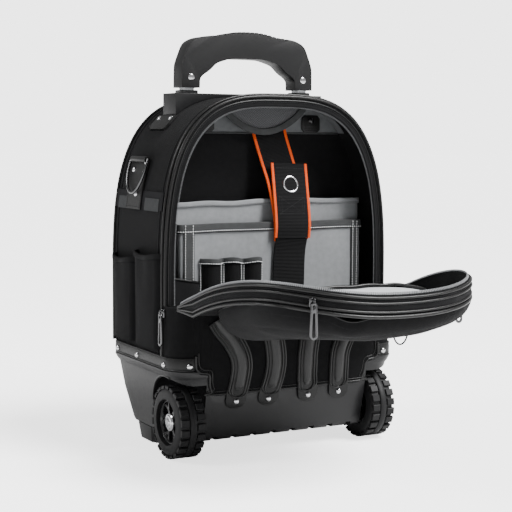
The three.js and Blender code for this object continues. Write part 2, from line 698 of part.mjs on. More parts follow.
function makeRib(table, side) {
  const last = table.length - 1;
  const station = (i) => [side * table[i].across * BAG_HALF_WIDTH, table[i].up * PANEL_TOP];
  const crest = (i) => (i < RIB_TAB_ROWS || i === last ? 0 : 1);
  const along = (i) => {
    const [a, b] = [station(Math.max(i - 1, 0)), station(Math.min(i + 1, last))];
    const length = Math.hypot(b[0] - a[0], b[1] - a[1]);
    return [(b[0] - a[0]) / length, (b[1] - a[1]) / length];
  };
  const surface = (lift) => (i, j) => {
    const [x, z] = station(i);
    const [ax, az] = along(i);
    const half = RIB_PROFILE[j].across * RIB_WIDTH * (i === 0 ? RIB_TAB_SHARE : 1);
    const px = x + half * az;
    const pz = z - half * ax;
    const rise = lift * (RIB_THICKNESS + crest(i) * RIB_PROFILE[j].rise * (RIB_CREST - RIB_THICKNESS));
    return [px, panelFace(px, pz) - SEAT - rise, pz];
  };
  return wall(surface(1), surface(0), last, RIB_PROFILE.length - 1);
}

// The door: a shallow tray, folded forward and sagging at its free end
const hingeY = BASE_FRONT - GAP;
const doorTilt = THREE.MathUtils.degToRad(DOOR_TILT);

function doorPoint(x, s, drop) {
  const share = s / DOOR_LENGTH;
  const sag = DOOR_SAG * share * share;
  const cup = DOOR_CUP * (x / DOOR_HALF_WIDTH) ** 2 * share;
  return [x, hingeY - s * Math.cos(doorTilt), DOOR_HINGE_Z + s * Math.sin(doorTilt) - sag + cup - drop];
}

function doorDepth(s) {
  const t = Math.min(s / (DOOR_DEEPENS * DOOR_LENGTH), 1);
  return THREE.MathUtils.lerp(DOOR_HINGE_DEPTH, DOOR_DEPTH, t);
}

// Half width of the door's outline at a row, drawn in by an inset
function doorRow(share, inset) {
  const across = (1 - share ** ARCH_POWER) ** (1 / ARCH_POWER);
  return [(DOOR_HALF_WIDTH - inset) * across, share * (DOOR_LENGTH - inset)];
}

function makeGusset() {
  const right = DOOR_ROWS.map((share) => ({ share, side: 1 }));
  const left = DOOR_ROWS.slice(0, -1).reverse().map((share) => ({ share, side: -1 }));
  const places = [...right, ...left];
  const surface = (inset) => (i, j) => {
    const [x, s] = doorRow(places[i].share, inset);
    return doorPoint(places[i].side * x, s, j * (doorDepth(s) + WALL));
  };
  return wall(surface(0), surface(WALL), places.length - 1, 1);
}

// A sheet that fills the door inside its gusset, between two drops
function doorSheet(inset, upper, lower) {
  const surface = (drop) => (i, j) => {
    const [x, s] = doorRow(DOOR_ROWS[j], inset);
    return doorPoint(x * ((2 * i) / DOOR_COLUMNS - 1), s, drop(s));
  };
  return wall(surface(upper), surface(lower), DOOR_COLUMNS, DOOR_ROWS.length - 1);
}

const makeDoorPanel = () => doorSheet(WALL + GAP, doorDepth, (s) => doorDepth(s) + WALL);
const linerDrop = (s) => doorDepth(s) - GAP;
const makeDoorLiner = () => doorSheet(WALL + GAP, (s) => linerDrop(s) - POCKET_WALL, linerDrop);

// A sheet raised over the liner, open along one edge
function makeDoorPocket({ firstRow, lastRow, halfWidth, rise }, mouthAtStart) {
  const rows = lastRow - firstRow;
  const surface = (lift) => (i, j) => {
    const across = (2 * i) / CURVE_STEPS - 1;
    const s = DOOR_ROWS[firstRow + j] * (DOOR_LENGTH - WALL - GAP);
    const toMouth = mouthAtStart ? 1 - j / rows : j / rows;
    const narrow = 1 - INNER_POCKET_NARROWS * (1 - toMouth) ** 2;
    const lifted = Math.min(1, INNER_POCKET_SEAM_RISE + toMouth);
    const height = rise * Math.sin((Math.PI / 2) * lifted) * (1 - across ** 4);
    return doorPoint(across * halfWidth * narrow, s, linerDrop(s) - POCKET_WALL - SEAT - height - lift);
  };
  return wall(surface(POCKET_WALL), surface(0), CURVE_STEPS, rows);
}

const pocketCentre = ((DOOR_POCKET.start + DOOR_POCKET.end) / 2) * DOOR_LENGTH;
const pocketHalfLength = ((DOOR_POCKET.end - DOOR_POCKET.start) / 2) * DOOR_LENGTH;
const pocketHalfWidth = DOOR_POCKET.across * DOOR_HALF_WIDTH;

// How far the pocket's face lies below the door, by how near its edge the place is
function pocketDrop(s, reach, inset) {
  const bulge = (DOOR_POCKET_BULGE - inset) * Math.sqrt(1 - reach ** DOOR_POCKET_FULLNESS);
  return doorDepth(s) + WALL + DOOR_POCKET_SEAT + bulge;
}

function makeOuterPocket() {
  const surface = (inset) => (i, j) => {
    const angle = (2 * Math.PI * i) / DOOR_POCKET_COLUMNS;
    const power = 2 / ARCH_POWER;
    const across = Math.sign(Math.cos(angle)) * Math.abs(Math.cos(angle)) ** power;
    const along = Math.sign(Math.sin(angle)) * Math.abs(Math.sin(angle)) ** power;
    const reach = DOOR_POCKET_REACHES[j];
    const x = across * reach * (pocketHalfWidth - inset);
    const s = pocketCentre + along * reach * (pocketHalfLength - inset);
    return doorPoint(x, s, pocketDrop(s, reach, inset));
  };
  return wall(surface(0), surface(WALL), DOOR_POCKET_COLUMNS, DOOR_POCKET_REACHES.length - 1, true);
}

// The cord on the outer pocket's zip: a loop hanging below it, its ends cut to the pocket's face
function makePullCord() {
  const { x, s, halfWidth, hang, radius } = PULL_CORD;
  const reach = Math.hypot(x / pocketHalfWidth, (s - pocketCentre) / pocketHalfLength);
  const [, y, top] = doorPoint(x, s, pocketDrop(s, reach, WALL / 2));
  const rings = [];
  for (let i = 0; i <= CORD_STEPS; i += 1) {
    const angle = (Math.PI * i) / CORD_STEPS;
    const centre = [x - halfWidth * Math.cos(angle), top - hang * Math.sin(angle)];
    const along = [halfWidth * Math.sin(angle), -hang * Math.cos(angle)];
    const length = Math.hypot(...along);
    rings.push(roundOutline(0, 0, radius, radius, CORD_FACETS).map(([a, b]) => [
      centre[0] - (a * along[1]) / length, y + b, centre[1] + (a * along[0]) / length]));
  }
  return cut(loft(rings), makeOuterPocket().translate(0, 0, -GAP));
}

// Wheels: x runs outwards from the bag
// Each row of lugs is half a lug behind the other, with a low rib between them
function tyreRadius(position, step) {
  if (Math.abs(position) === TREAD_ROWS[3]) return WHEEL_RADIUS - LUG_HEIGHT * CENTRE_GROOVE;
  const half = STEPS_PER_LUG / 2;
  const raised = (step + (position > 0 ? half : 0)) % STEPS_PER_LUG < half;
  const shoulder = Math.abs(position) === 1 ? LUG_HEIGHT : 0;
  return WHEEL_RADIUS - shoulder - (raised ? 0 : LUG_HEIGHT);
}

function makeTyre() {
  const steps = LUGS_PER_ROW * STEPS_PER_LUG;
  const points = [];
  const faces = [];
  const profileCount = TREAD_ROWS.length + 2;
  const section = (i) => {
    const tread = TREAD_ROWS.map((row) => ({ x: (row * WHEEL_WIDTH) / 2, radius: tyreRadius(row, i) }));
    const bore = [1, -1].map((row) => ({ x: (row * WHEEL_WIDTH) / 2, radius: HUB_RADIUS + GAP }));
    return [...tread, ...bore];
  };
  for (let i = 0; i < steps; i += 1) {
    const angle = (2 * Math.PI * (i + (i % 2 ? LUG_SLANT : -LUG_SLANT))) / steps;
    for (const { x, radius } of section(i)) {
      points.push([x, radius * Math.cos(angle), radius * Math.sin(angle)]);
    }
    for (let j = 0; j < profileCount; j += 1) {
      const [a, b] = [i * profileCount + j, i * profileCount + ((j + 1) % profileCount)];
      const [c, d] = [a, b].map((k) => (k + profileCount) % (steps * profileCount));
      faces.push(a, c, d, a, d, b);
    }
  }
  return facingOut(fromFaces(points, faces));
}

function makeHub() {
  const disc = shapeOf(roundOutline(0, 0, HUB_RADIUS - 1, HUB_RADIUS - 1, HUB_FACETS));
  const web = (2 * Math.PI) / HUB_SPOKES;
  const polar = (radius, angle) => [radius * Math.cos(angle), radius * Math.sin(angle)];
  for (let i = 0; i < HUB_SPOKES; i += 1) {
    const outer = HUB_WINDOW_OUTER.map((share) => polar(HUB_RADIUS - HUB_WINDOW_MARGIN, web * (i + share)));
    const inner = HUB_WINDOW_INNER.map((share) => polar(HUB_BOSS + HUB_WINDOW_FOOT, web * (i + share)));
    disc.holes.push(shapeOf([...outer, ...inner]));
  }
  const plate = new THREE.ExtrudeGeometry(disc, { depth: HUB_PLATE, bevelEnabled: false });
  plate.rotateY(Math.PI / 2).translate(HUB_WIDTH / 2 - HUB_RECESS - HUB_PLATE, 0, 0);
  const outer = rodAlongX(-HUB_WIDTH / 2, HUB_WIDTH / 2, 0, 0, HUB_RADIUS, HUB_FACETS);
  const inner = rodAlongX(-HUB_WIDTH, HUB_WIDTH, 0, 0, HUB_RADIUS - HUB_RIM, HUB_FACETS);
  const boss = rodAlongX(-HUB_WIDTH / 2, HUB_WIDTH / 2 - HUB_BOSS_RECESS, 0, 0, HUB_BOSS, BOSS_FACETS);
  const bore = rodAlongX(-HUB_WIDTH, HUB_WIDTH, 0, 0, AXLE_RADIUS + GAP, BORE_FACETS);
  return cut(join(cut(outer, inner), plate, boss), bore);
}

function makeCap() {
  const base = HUB_WIDTH / 2 - HUB_BOSS_RECESS + GAP;
  const profile = [[0, base], [CAP_RADIUS, base], [CAP_RADIUS, base + CAP_HEIGHT - CAP_CHAMFER],
    [CAP_RADIUS - CAP_CHAMFER, base + CAP_HEIGHT], [0, base + CAP_HEIGHT]];
  const cap = new THREE.LatheGeometry(profile.map(([r, x]) => new THREE.Vector2(r, x)), BOSS_FACETS);
  return facingOut(fromFaces(pointsOf(cap), [...cap.index.array])).rotateZ(-Math.PI / 2);
}

function pointsOf(geometry) {
  const p = geometry.attributes.position;
  return Array.from({ length: p.count }, (_, i) => [p.getX(i), p.getY(i), p.getZ(i)]);
}

function addWheel(side, name) {
  const wheel = new THREE.Group();
  wheel.position.set(side * (WHEEL_OUTER_FACE - WHEEL_WIDTH / 2), AXLE_Y, WHEEL_RADIUS);
  wheel.rotation.z = side > 0 ? 0 : Math.PI;
  bag.add(wheel);
  add(`tyre_${name}`, makeTyre(), finish.rubber, wheel);
  add(`hub_${name}`, makeHub(), finish.black, wheel);
  add(`hub_cap_${name}`, makeCap(), finish.chrome, wheel);
}

// Telescoping handle
const rodTop = GRIP_BOTTOM + ROD_IN_GRIP;

function tube(side, width, depth, thickness, low, high) {
  const centre = side * HANDLE_HALF_SPACING;
  const rectangle = (w, d) => [
    [centre - w / 2, HANDLE_Y - d / 2], [centre + w / 2, HANDLE_Y - d / 2],
    [centre + w / 2, HANDLE_Y + d / 2], [centre - w / 2, HANDLE_Y + d / 2],
  ];
  const shape = shapeOf(rectangle(width, depth));
  shape.holes.push(shapeOf(rectangle(width - 2 * thickness, depth - 2 * thickness)));
  return alongZ(shape, low, high);
}

function makeGrip() {
  const at = (row, side) => [
    side * row.across * HANDLE_HALF_SPACING, GRIP_BOTTOM + row.up * (GRIP_TOP - GRIP_BOTTOM),
  ];
  const outline = [
    ...GRIP_OUTER.map((row) => at(row, 1)),
    ...GRIP_OUTER.slice(0, -1).reverse().map((row) => at(row, -1)),
    ...GRIP_INNER.slice().reverse().map((row) => at(row, -1)),
    ...GRIP_INNER.slice(1).map((row) => at(row, 1)),
  ];
  const body = alongY(outline, HANDLE_Y - GRIP_DEPTH / 2, HANDLE_Y + GRIP_DEPTH / 2, GRIP_BEVEL);
  const socket = (side) => box(
    side * HANDLE_HALF_SPACING - ROD_WIDTH / 2 - GAP, side * HANDLE_HALF_SPACING + ROD_WIDTH / 2 + GAP,
    HANDLE_Y - ROD_DEPTH / 2 - GAP, HANDLE_Y + ROD_DEPTH / 2 + GAP, GRIP_BOTTOM - WALL, rodTop + GAP);
  return cut(body, socket(1), socket(-1));
}

// The housing on top is cut to the arch below it and lets the handle guides through
function makeHousing() {
  const low = archZ(HOUSING_HALF_WIDTH);
  const body = box(-HOUSING_HALF_WIDTH, HOUSING_HALF_WIDTH, HOUSING_FRONT, HOUSING_BACK, low, HOUSING_TOP);
  const arch = alongY(archOutline(-SEAT, ARCH_START), HOUSING_FRONT - WALL, HOUSING_BACK + WALL);
  const high = HOUSING_TOP + WALL;
  return cut(body, arch, guideHole(1, GAP, ARCH_START, high), guideHole(-1, GAP, ARCH_START, high));
}

function makePatch(side) {
  const high = archZ(HOUSING_HALF_WIDTH + WALL);
  return sideStrip(side, PATCH_LOW, high, SEAT, PATCH_THICKNESS, PATCH_FRONT, PATCH_BACK);
}

// Inside: the partition, sleeves and pockets
function makePartition() {
  const inset = WALL + GAP;
  const low = BASE_UNDERSIDE + BASE_WALL + GAP;
  const heights = [low, ...BASE_SECTIONS.slice(1, -1).map(sectionZ), BASE_RIM];
  const side = heights.map((z) => [baseAt(z).width - upstandInset - BASE_WALL - SEAT, z]);
  const outline = [...side, ...archTop(inset), ...side.slice().reverse().map(([x, z]) => [-x, z])];
  return alongY(outline, PARTITION_FRONT, PARTITION_FRONT + WALL);
}

// Where the line through p along d meets the line through q along e
function crossing(p, d, q, e) {
  const t = ((q[0] - p[0]) * e[1] - (q[1] - p[1]) * e[0]) / (d[0] * e[1] - d[1] * e[0]);
  return [p[0] + t * d[0], p[1] + t * d[1]];
}

// An open path moved sideways, its ends kept on the straight line between the path's own ends
function shifted(path, distance) {
  const last = path.length - 1;
  const seat = [path[last][0] - path[0][0], path[last][1] - path[0][1]];
  const sides = path.slice(1).map((point, i) => {
    const along = [point[0] - path[i][0], point[1] - path[i][1]];
    const length = Math.hypot(...along);
    const [stepX, stepY] = [-(along[1] / length) * distance, (along[0] / length) * distance];
    return { from: [path[i][0] + stepX, path[i][1] + stepY], along };
  });
  const middle = sides.slice(1).map(({ from, along }, i) => (
    crossing(sides[i].from, sides[i].along, from, along)));
  const first = crossing(sides[0].from, sides[0].along, path[0], seat);
  const end = crossing(sides.at(-1).from, sides.at(-1).along, path[0], seat);
  return [first, ...middle, end];
}

// A pocket: a sheet bent round a path in plan, with a floor, open at the top and towards its back
function makePocket(path, bottom, top, thickness) {
  const inner = shifted(path, thickness);
  const sheet = alongZ([...path, ...inner.slice().reverse()], bottom, top);
  return join(sheet, alongZ(path, bottom, bottom + thickness));
}

function sleevePath({ left, right, front }, backEdge) {
  return [[left, backEdge], [left, front], [right, front], [right, backEdge]];
}

function penPath() {
  const { left, right, count, depth, valley } = PEN_POCKETS;
  const path = [];
  const face = FRONT_SLEEVE.front - GAP;
  for (let k = 0; k < count; k += 1) {
    for (let i = k ? 1 : 0; i <= PEN_STEPS; i += 1) {
      const share = (k + i / PEN_STEPS) / count;
      const least = i % PEN_STEPS === 0 && share > 0 && share < 1 ? valley : 0;
      const out = Math.max(Math.sin((Math.PI * i) / PEN_STEPS), least);
      path.push([left + (right - left) * share, face - depth * out]);
    }
  }
  return path;
}

function wallPocketPath() {
  const { inner, front } = WALL_POCKET;
  const side = -(archWidth(WALL) - GAP);
  const face = WALL_POCKET_FACE.map(({ across, back }) => [side * across, front + back]);
  return [...face, [inner, front + WALL_POCKET_CORNER], [inner, FRONT_SLEEVE.front - GAP]];
}

function makeFlap() {
  const outline = [];
  const top = (x) => archZ(x, WALL) - GAP - SEAT;
  for (let i = 0; i <= FLAP_STEPS; i += 1) {
    const x = FLAP_HALF_WIDTH * (1 - (2 * i) / FLAP_STEPS);
    outline.push([x, top(x)]);
  }
  for (let i = 1; i < FLAP_STEPS; i += 1) {
    const angle = (Math.PI * i) / FLAP_STEPS;
    const x = -FLAP_HALF_WIDTH * Math.cos(angle);
    outline.push([x, top(FLAP_HALF_WIDTH) - FLAP_DROP * Math.abs(Math.sin(angle)) ** FLAP_FULLNESS]);
  }
  return alongY(outline, FLAP_Y - FLAP_THICKNESS / 2, FLAP_Y + FLAP_THICKNESS / 2);
}

// A flat strap hung along a centre line before the partition
function makeStrap(table, width) {
  const face = PARTITION_FRONT - GAP;
  const surface = (lift) => (i, j) => {
    const { across, out, up } = table[i];
    return [across + (j - 0.5) * width, face - out - lift, up];
  };
  return wall(surface(STRAP_THICKNESS), surface(0), table.length - 1, 1);
}

function makeEyelet() {
  const [upper, lower] = LOWER_STRAP;
  const mix = (key) => THREE.MathUtils.lerp(upper[key], lower[key], EYELET_SHARE);
  const ring = shapeOf(roundOutline(0, 0, EYELET_OUTER, EYELET_OUTER, EYELET_FACETS));
  ring.holes.push(shapeOf(roundOutline(0, 0, EYELET_INNER, EYELET_INNER, EYELET_FACETS)));
  const slope = Math.atan2(lower.out - upper.out, upper.up - lower.up);
  const face = PARTITION_FRONT - GAP - mix('out') - (STRAP_THICKNESS + GAP) / Math.cos(slope);
  return alongY(ring, -EYELET_THICKNESS, 0).rotateX(-slope).translate(mix('across'), face, mix('up'));
}

const makeTab = (side) => alongY(
  shapeOf([[-1, 0], [1, 0], [1, 1], [-1, 1]].map(([a, b]) => [
    side * TAB_X + (a * TAB_WIDTH) / 2, TAB_LOW + b * TAB_HEIGHT])),
  PARTITION_FRONT - GAP - TAB_THICKNESS, PARTITION_FRONT - GAP);

// On the sides
function makeSidePocket({ front, back, bottom, top }, side) {
  const start = BAG_HALF_WIDTH + GAP;
  const length = back - front;
  const half = SIDE_POCKET_FACE.map(({ out, along }) => [start + SIDE_POCKET_BULGE * out, length * along]);
  const path = [...half.map(([x, y]) => [x, front + y]), ...half.reverse().map(([x, y]) => [x, back - y])];
  const placed = side > 0 ? path : path.map(([x, y]) => [-x, y]).reverse();
  return makePocket(placed, bottom, top, POCKET_WALL);
}

// The D-ring hangs from a rolled fold at the top of its tab and lies against the tab
const ringLift = WEBBING_THICKNESS + SEAT + GAP;
const ringFace = ringLift + RING_TAB.thickness + 2 * SEAT;
const ringX = (z) => archX(z) + ringFace + RING_WIRE;

function makeRingTab(side) {
  const { front, back, low, high, thickness } = RING_TAB;
  const strip = sideStrip(side, low, high, ringLift, thickness, front, back);
  const centre = side * ringX(high);
  const along = (radius, sides, over) => {
    const bar = new THREE.CylinderGeometry(radius, radius, back - front + over, sides);
    return bar.translate(centre, (front + back) / 2, high);
  };
  return cut(join(strip, along(RING_ROLL, FOLD_FACETS, 0)), along(RING_WIRE + SEAT, FOLD_FACETS, WALL));
}

function makeRing(side) {
  const middle = (RING_TAB.front + RING_TAB.back) / 2;
  const high = RING_TAB.high;
  const at = (y, z) => new THREE.Vector3(side * (ringX(z) + (high - z) * RING_LEAN), middle + y, z);
  const line = [];
  for (const share of [-1, -0.5, 0, 0.5, 1]) line.push(at(RING_HALF_WIDTH * share, high));
  for (let i = 1; i < RING_STEPS; i += 1) {
    const angle = (Math.PI * i) / RING_STEPS;
    line.push(at(RING_HALF_WIDTH * Math.cos(angle), high - RING_DROP * Math.sin(angle) ** RING_FULLNESS));
  }
  return ringTube(line, RING_WIRE, WIRE_FACETS);
}

// A zip pull: a slider with a long slotted tab hanging from it
function makePull() {
  const half = PULL_WIDTH / 2;
  const right = PULL_OUTLINE.map(({ across, down }) => [half * across, -PULL_LENGTH * down]);
  const outline = shapeOf([...right, ...right.slice().reverse().map(([x, z]) => [-x, z])]);
  outline.holes.push(shapeOf(roundOutline(0, -PULL_LENGTH * PULL_SLOT.down, half * PULL_SLOT.across,
    PULL_LENGTH * PULL_SLOT.half, PULL_SLOT.facets)));
  const tab = alongY(outline, -PULL_THICKNESS, 0);
  const reach = SLIDER_SIZE / 2;
  const slider = box(-reach, reach, -PULL_THICKNESS / 2, reach, -SLIDER_SIZE, reach);
  return join(tab, slider);
}

function addPull(name, place, turn) {
  const mesh = add(name, makePull(), finish.chrome);
  mesh.position.set(...place);
  mesh.rotation.z = turn;
}

// The padded shoulder straps and the webbing below them
const backFace = BAG_BACK + GAP + BACK_PAD;

function makeShoulderStrap(side) {
  const half = SHOULDER_WIDTH / 2;
  const shape = new THREE.Shape();
  shape.absarc(side * SHOULDER_X, SHOULDER_HIGH - half, half, 0, Math.PI);
  shape.absarc(side * SHOULDER_X, SHOULDER_LOW + half, half, Math.PI, 2 * Math.PI);
  return alongY(shape, backFace + GAP, backFace + GAP + SHOULDER_THICKNESS, SHOULDER_BEVEL);
}

function makeLowerWeb(side) {
  const half = LOWER_WEB_WIDTH / 2;
  const [x0, z0] = [side * SHOULDER_X, SHOULDER_LOW - GAP];
  const [x1, z1] = [side * LOWER_WEB_X, LOWER_WEB_END];
  const outline = [[x0 - half, z0], [x1 - half, z1], [x1 + half, z1], [x0 + half, z0]];
  return alongY(outline, backFace + GAP, backFace + GAP + LOWER_WEB_THICKNESS);
}

// The base, the bag and what stays on them
add('base_shell', makeBase(), finish.moulded);
add('axle', rodAlongX(-WHEEL_OUTER_FACE + WHEEL_WIDTH / 3, WHEEL_OUTER_FACE - WHEEL_WIDTH / 3, AXLE_Y,
  WHEEL_RADIUS, AXLE_RADIUS, BORE_FACETS), finish.steel);
add('rim_band', makeBand(), finish.leather);
add('bag_shell', makeBagShell(), finish.nylon);
add('front_zip_rim', makeFrontRim(), finish.nylon);
add('front_panel', makeFrontPanel(), finish.nylon);
add('back_panel', alongY(archOutline(0, upstandTop + GAP), BAG_BACK + GAP, backFace), finish.nylon);
add('partition', makePartition(), finish.greyCloth);
add('top_housing', makeHousing(), finish.moulded);
for (const [table, side, name] of [
  [OUTER_RIB, -1, 'skid_rib_outer_left'], [INNER_RIB, -1, 'skid_rib_inner_left'],
  [INNER_RIB, 1, 'skid_rib_inner_right'], [OUTER_RIB, 1, 'skid_rib_outer_right']]) {
  add(name, makeRib(table, side), finish.leather);
}

// The door
add('door_gusset', makeGusset(), finish.nylon);
add('door_panel', makeDoorPanel(), finish.nylon);
add('door_liner', makeDoorLiner(), finish.paleCloth);
add('door_pocket_rear', makeDoorPocket(REAR_INNER_POCKET, false), finish.nylon);
add('door_pocket_front', makeDoorPocket(FRONT_INNER_POCKET, true), finish.paleCloth);
add('door_outer_pocket', makeOuterPocket(), finish.nylon);
add('pull_cord', makePullCord(), finish.nylon);

// Inside the bag
add('rear_sleeve', makePocket(sleevePath(REAR_SLEEVE, PARTITION_FRONT - GAP), REAR_SLEEVE.bottom,
  REAR_SLEEVE.top, POCKET_WALL), finish.greyCloth);
add('front_sleeve', makePocket(sleevePath(FRONT_SLEEVE, REAR_SLEEVE.front - GAP), FRONT_SLEEVE.bottom,
  FRONT_SLEEVE.top, POCKET_WALL), finish.greyCloth);
add('pen_pockets', makePocket(penPath(), PEN_POCKETS.bottom, PEN_POCKETS.top, POCKET_WALL), finish.nylon);
add('wall_pocket', makePocket(wallPocketPath(), WALL_POCKET.bottom, WALL_POCKET.top, POCKET_WALL),
  finish.nylon);
add('top_flap', makeFlap(), finish.greyCloth);
add('strap_upper', makeStrap(UPPER_STRAP, UPPER_STRAP_WIDTH), finish.webbing);
add('strap_lower', join(makeStrap(LOWER_STRAP, LOWER_STRAP_WIDTH), makeStrap(TAIL_STRAP, TAIL_WIDTH)),
  finish.webbing);
add('strap_eyelet', makeEyelet(), finish.chrome);

// Handle
const handle = new THREE.Group();
bag.add(handle);
add('grip', makeGrip(), finish.black, handle);

// Pieces in pairs
for (const [side, name] of [[-1, 'left'], [1, 'right']]) {
  add(`handle_guide_${name}`, tube(side, guideOuter.width, guideOuter.depth, GUIDE_WALL,
    BASE_UNDERSIDE + BASE_WALL + GAP, HOUSING_TOP - 1), finish.aluminium);
  add(`rod_${name}`, tube(side, ROD_WIDTH, ROD_DEPTH, ROD_WALL, ROD_BOTTOM, rodTop), finish.aluminium,
    handle);
  add(`corner_patch_${name}`, makePatch(side), finish.leather);
  add(`anchor_tab_${name}`, makeTab(side), finish.leather);
  for (const pocket of SIDE_POCKETS) {
    add(`${pocket.name}_${name}`, makeSidePocket(pocket, side), finish.nylon);
  }
  add(`side_webbing_${name}`, sideStrip(side, WEBBING_LOW, WEBBING_LOW + WEBBING_WIDTH, SEAT,
    WEBBING_THICKNESS, WEBBING_FRONT, WEBBING_BACK), finish.webbing);
  add(`ring_tab_${name}`, makeRingTab(side), finish.leather);
  add(`d_ring_${name}`, makeRing(side), finish.chrome);
  add(`shoulder_strap_${name}`, makeShoulderStrap(side), finish.nylon);
  add(`strap_webbing_${name}`, makeLowerWeb(side), finish.webbing);
  addWheel(side, name);
}

// Zip pulls: one at the door's corner, two on its gusset at rows of its outline
const sliderReach = SLIDER_SIZE / 2 + GAP;
const cornerPull = [
  -(BASE_HALF_WIDTH - upstandInset + sliderReach),
  BAG_FRONT - SLIDER_SIZE * CORNER_PULL_FORWARD,
  PANEL_TOP - SLIDER_SIZE,
];
addPull('zip_pull_side', cornerPull, -Math.PI / 2);

function addGussetPull(name, side, { row, drop }) {
  const place = (share) => {
    const [x, s] = doorRow(share, 0);
    return doorPoint(side * x, s, drop * DOOR_DEPTH);
  };
  const [here, before, after] = [0, -1, 1].map((step) => place(DOOR_ROWS[row + step]));
  const along = [after[0] - before[0], after[1] - before[1]];
  const length = side * Math.hypot(...along);
  const out = [-along[1] / length, along[0] / length];
  addPull(name, [here[0] + out[0] * sliderReach, here[1] + out[1] * sliderReach, here[2]],
    Math.atan2(out[0], -out[1]));
}

addGussetPull('zip_pull_front', -1, FRONT_PULL);
addGussetPull('zip_pull_right', 1, RIGHT_PULL);

// The origin: on the floor, under the middle of the whole
const bounds = new THREE.Box3().setFromObject(part);
bag.position.set(0, -(bounds.min.y + bounds.max.y) / 2, -bounds.min.z);
part.updateMatrixWorld(true);

export default part;
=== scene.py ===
# The looks of a wheeled tool backpack, standing with its front door folded forward.
import json
import math

import bmesh
import bpy
import numpy as np
from mathutils import Matrix, Vector

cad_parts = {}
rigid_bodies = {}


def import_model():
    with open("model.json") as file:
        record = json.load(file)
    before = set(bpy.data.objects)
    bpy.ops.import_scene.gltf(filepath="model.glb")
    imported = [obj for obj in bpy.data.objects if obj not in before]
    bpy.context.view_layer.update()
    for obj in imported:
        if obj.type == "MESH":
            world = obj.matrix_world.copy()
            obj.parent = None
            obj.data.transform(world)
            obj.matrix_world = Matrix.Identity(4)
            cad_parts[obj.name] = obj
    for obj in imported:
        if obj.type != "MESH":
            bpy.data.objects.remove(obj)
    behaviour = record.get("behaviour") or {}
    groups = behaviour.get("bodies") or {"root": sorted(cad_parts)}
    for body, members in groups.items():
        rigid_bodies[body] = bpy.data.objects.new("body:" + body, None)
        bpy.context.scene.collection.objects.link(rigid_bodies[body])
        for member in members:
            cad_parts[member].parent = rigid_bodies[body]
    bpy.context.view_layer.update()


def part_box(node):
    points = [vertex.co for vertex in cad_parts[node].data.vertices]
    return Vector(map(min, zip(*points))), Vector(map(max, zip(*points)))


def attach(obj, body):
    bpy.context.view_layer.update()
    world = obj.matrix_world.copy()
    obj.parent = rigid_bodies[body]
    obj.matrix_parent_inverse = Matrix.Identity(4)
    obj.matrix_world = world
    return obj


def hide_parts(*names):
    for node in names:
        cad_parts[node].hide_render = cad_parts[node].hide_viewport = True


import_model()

# Sizes in millimetres, in the bag's own frame: y = 0 is the middle of the bag's depth
MM = 0.001
GAP = 0.3
WALL = 3.0
BAG_HALF_WIDTH = 210.0
BAG_TOP = 590.0
ARCH_START = 268.0
ARCH_POWER = 3.1
BAG_FRONT = -102.0
BAG_BACK = 102.0
BACK_PAD = 12.0
FRONT_SEAM_Y = -84.0
BACK_SEAM_Y = 88.0
PARTITION_FRONT = -31.0
LINING_LOW = 529.0
TAB_X = 103.0
BASE_UNDERSIDE = 27.0
BASE_RIM = 149.0
BASE_HALF_WIDTH = 213.0
BASE_FRONT = -147.5
BASE_BACK = 102.0
BASE_CORNER_FRONT = 34.0
BASE_CORNER_BACK = 14.0
BAND_TOP = 170.0
BAND_MIDDLE = 159.8
AXLE_Y = -99.0
AXLE_BORE = 6.3
WHEEL_RADIUS = 60.0
WHEEL_MIDDLE = 181.0
WELL_RADIUS = 70.0
WELL_INNER = 152.0
WELL_FORWARD = 6.0
PANEL_LOW = 105.0
PANEL_TOP = 251.0
DOOR_LENGTH = 357.0
DOOR_HALF_WIDTH = 204.0
DOOR_HINGE_Z = 255.6
DOOR_TILT = math.radians(22.1)
DOOR_SAG = 89.0
DOOR_CUP = 20.0
DOOR_DEPTH = 30.0
DOOR_HINGE_DEPTH = 4.0
DOOR_DEEPENS = 0.168
HINGE_Y = BASE_FRONT - GAP
HANDLE_X = 110.0
HANDLE_Y = 21.0
SHOULDER_X = 75.0
SIDES = ((-1, "left"), (1, "right"))
FRONT = np.array([0.0, -1.0, 0.0])
UP = np.array([0.0, 0.0, 1.0])

# Shares of the base's height, half width, front and back
BASE_SECTIONS = np.array([
    [0.0, 0.855, 0.84, 0.865],
    [0.516, 0.93, 0.939, 0.94],
    [0.893, 0.967, 0.99, 0.98],
    [1.0, 1.0, 1.0, 1.0],
])

axle_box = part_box("axle")
SHIFT = (axle_box[0].y + axle_box[1].y) / 2 - AXLE_Y * MM


def metres(points):
    """Millimetres in the bag's own frame to metres in the row frame."""
    return np.asarray(points, float).reshape(-1, 3) * MM + np.array([0.0, SHIFT, 0.0])


def unit(v):
    v = np.asarray(v, float)
    length = np.linalg.norm(v, axis=-1, keepdims=True)
    return v / np.where(length < 1e-9, 1.0, length)


def full_turn(count):
    """Evenly spaced angles round a circle."""
    return np.linspace(0, 2 * math.pi, count, endpoint=False)


def points_of(x, y, z):
    """Points from their coordinates; any of the three may be one number for all."""
    return np.stack(np.broadcast_arrays(x, y, z), axis=-1).astype(float)


# Materials: procedural, sizes from real millimetres
def colour(code):
    """An sRGB hex colour as linear RGBA."""
    parts = [int(code[i:i + 2], 16) / 255 for i in (1, 3, 5)]
    linear = [p / 12.92 if p <= 0.04045 else ((p + 0.055) / 1.055) ** 2.4 for p in parts]
    return (*linear, 1.0)


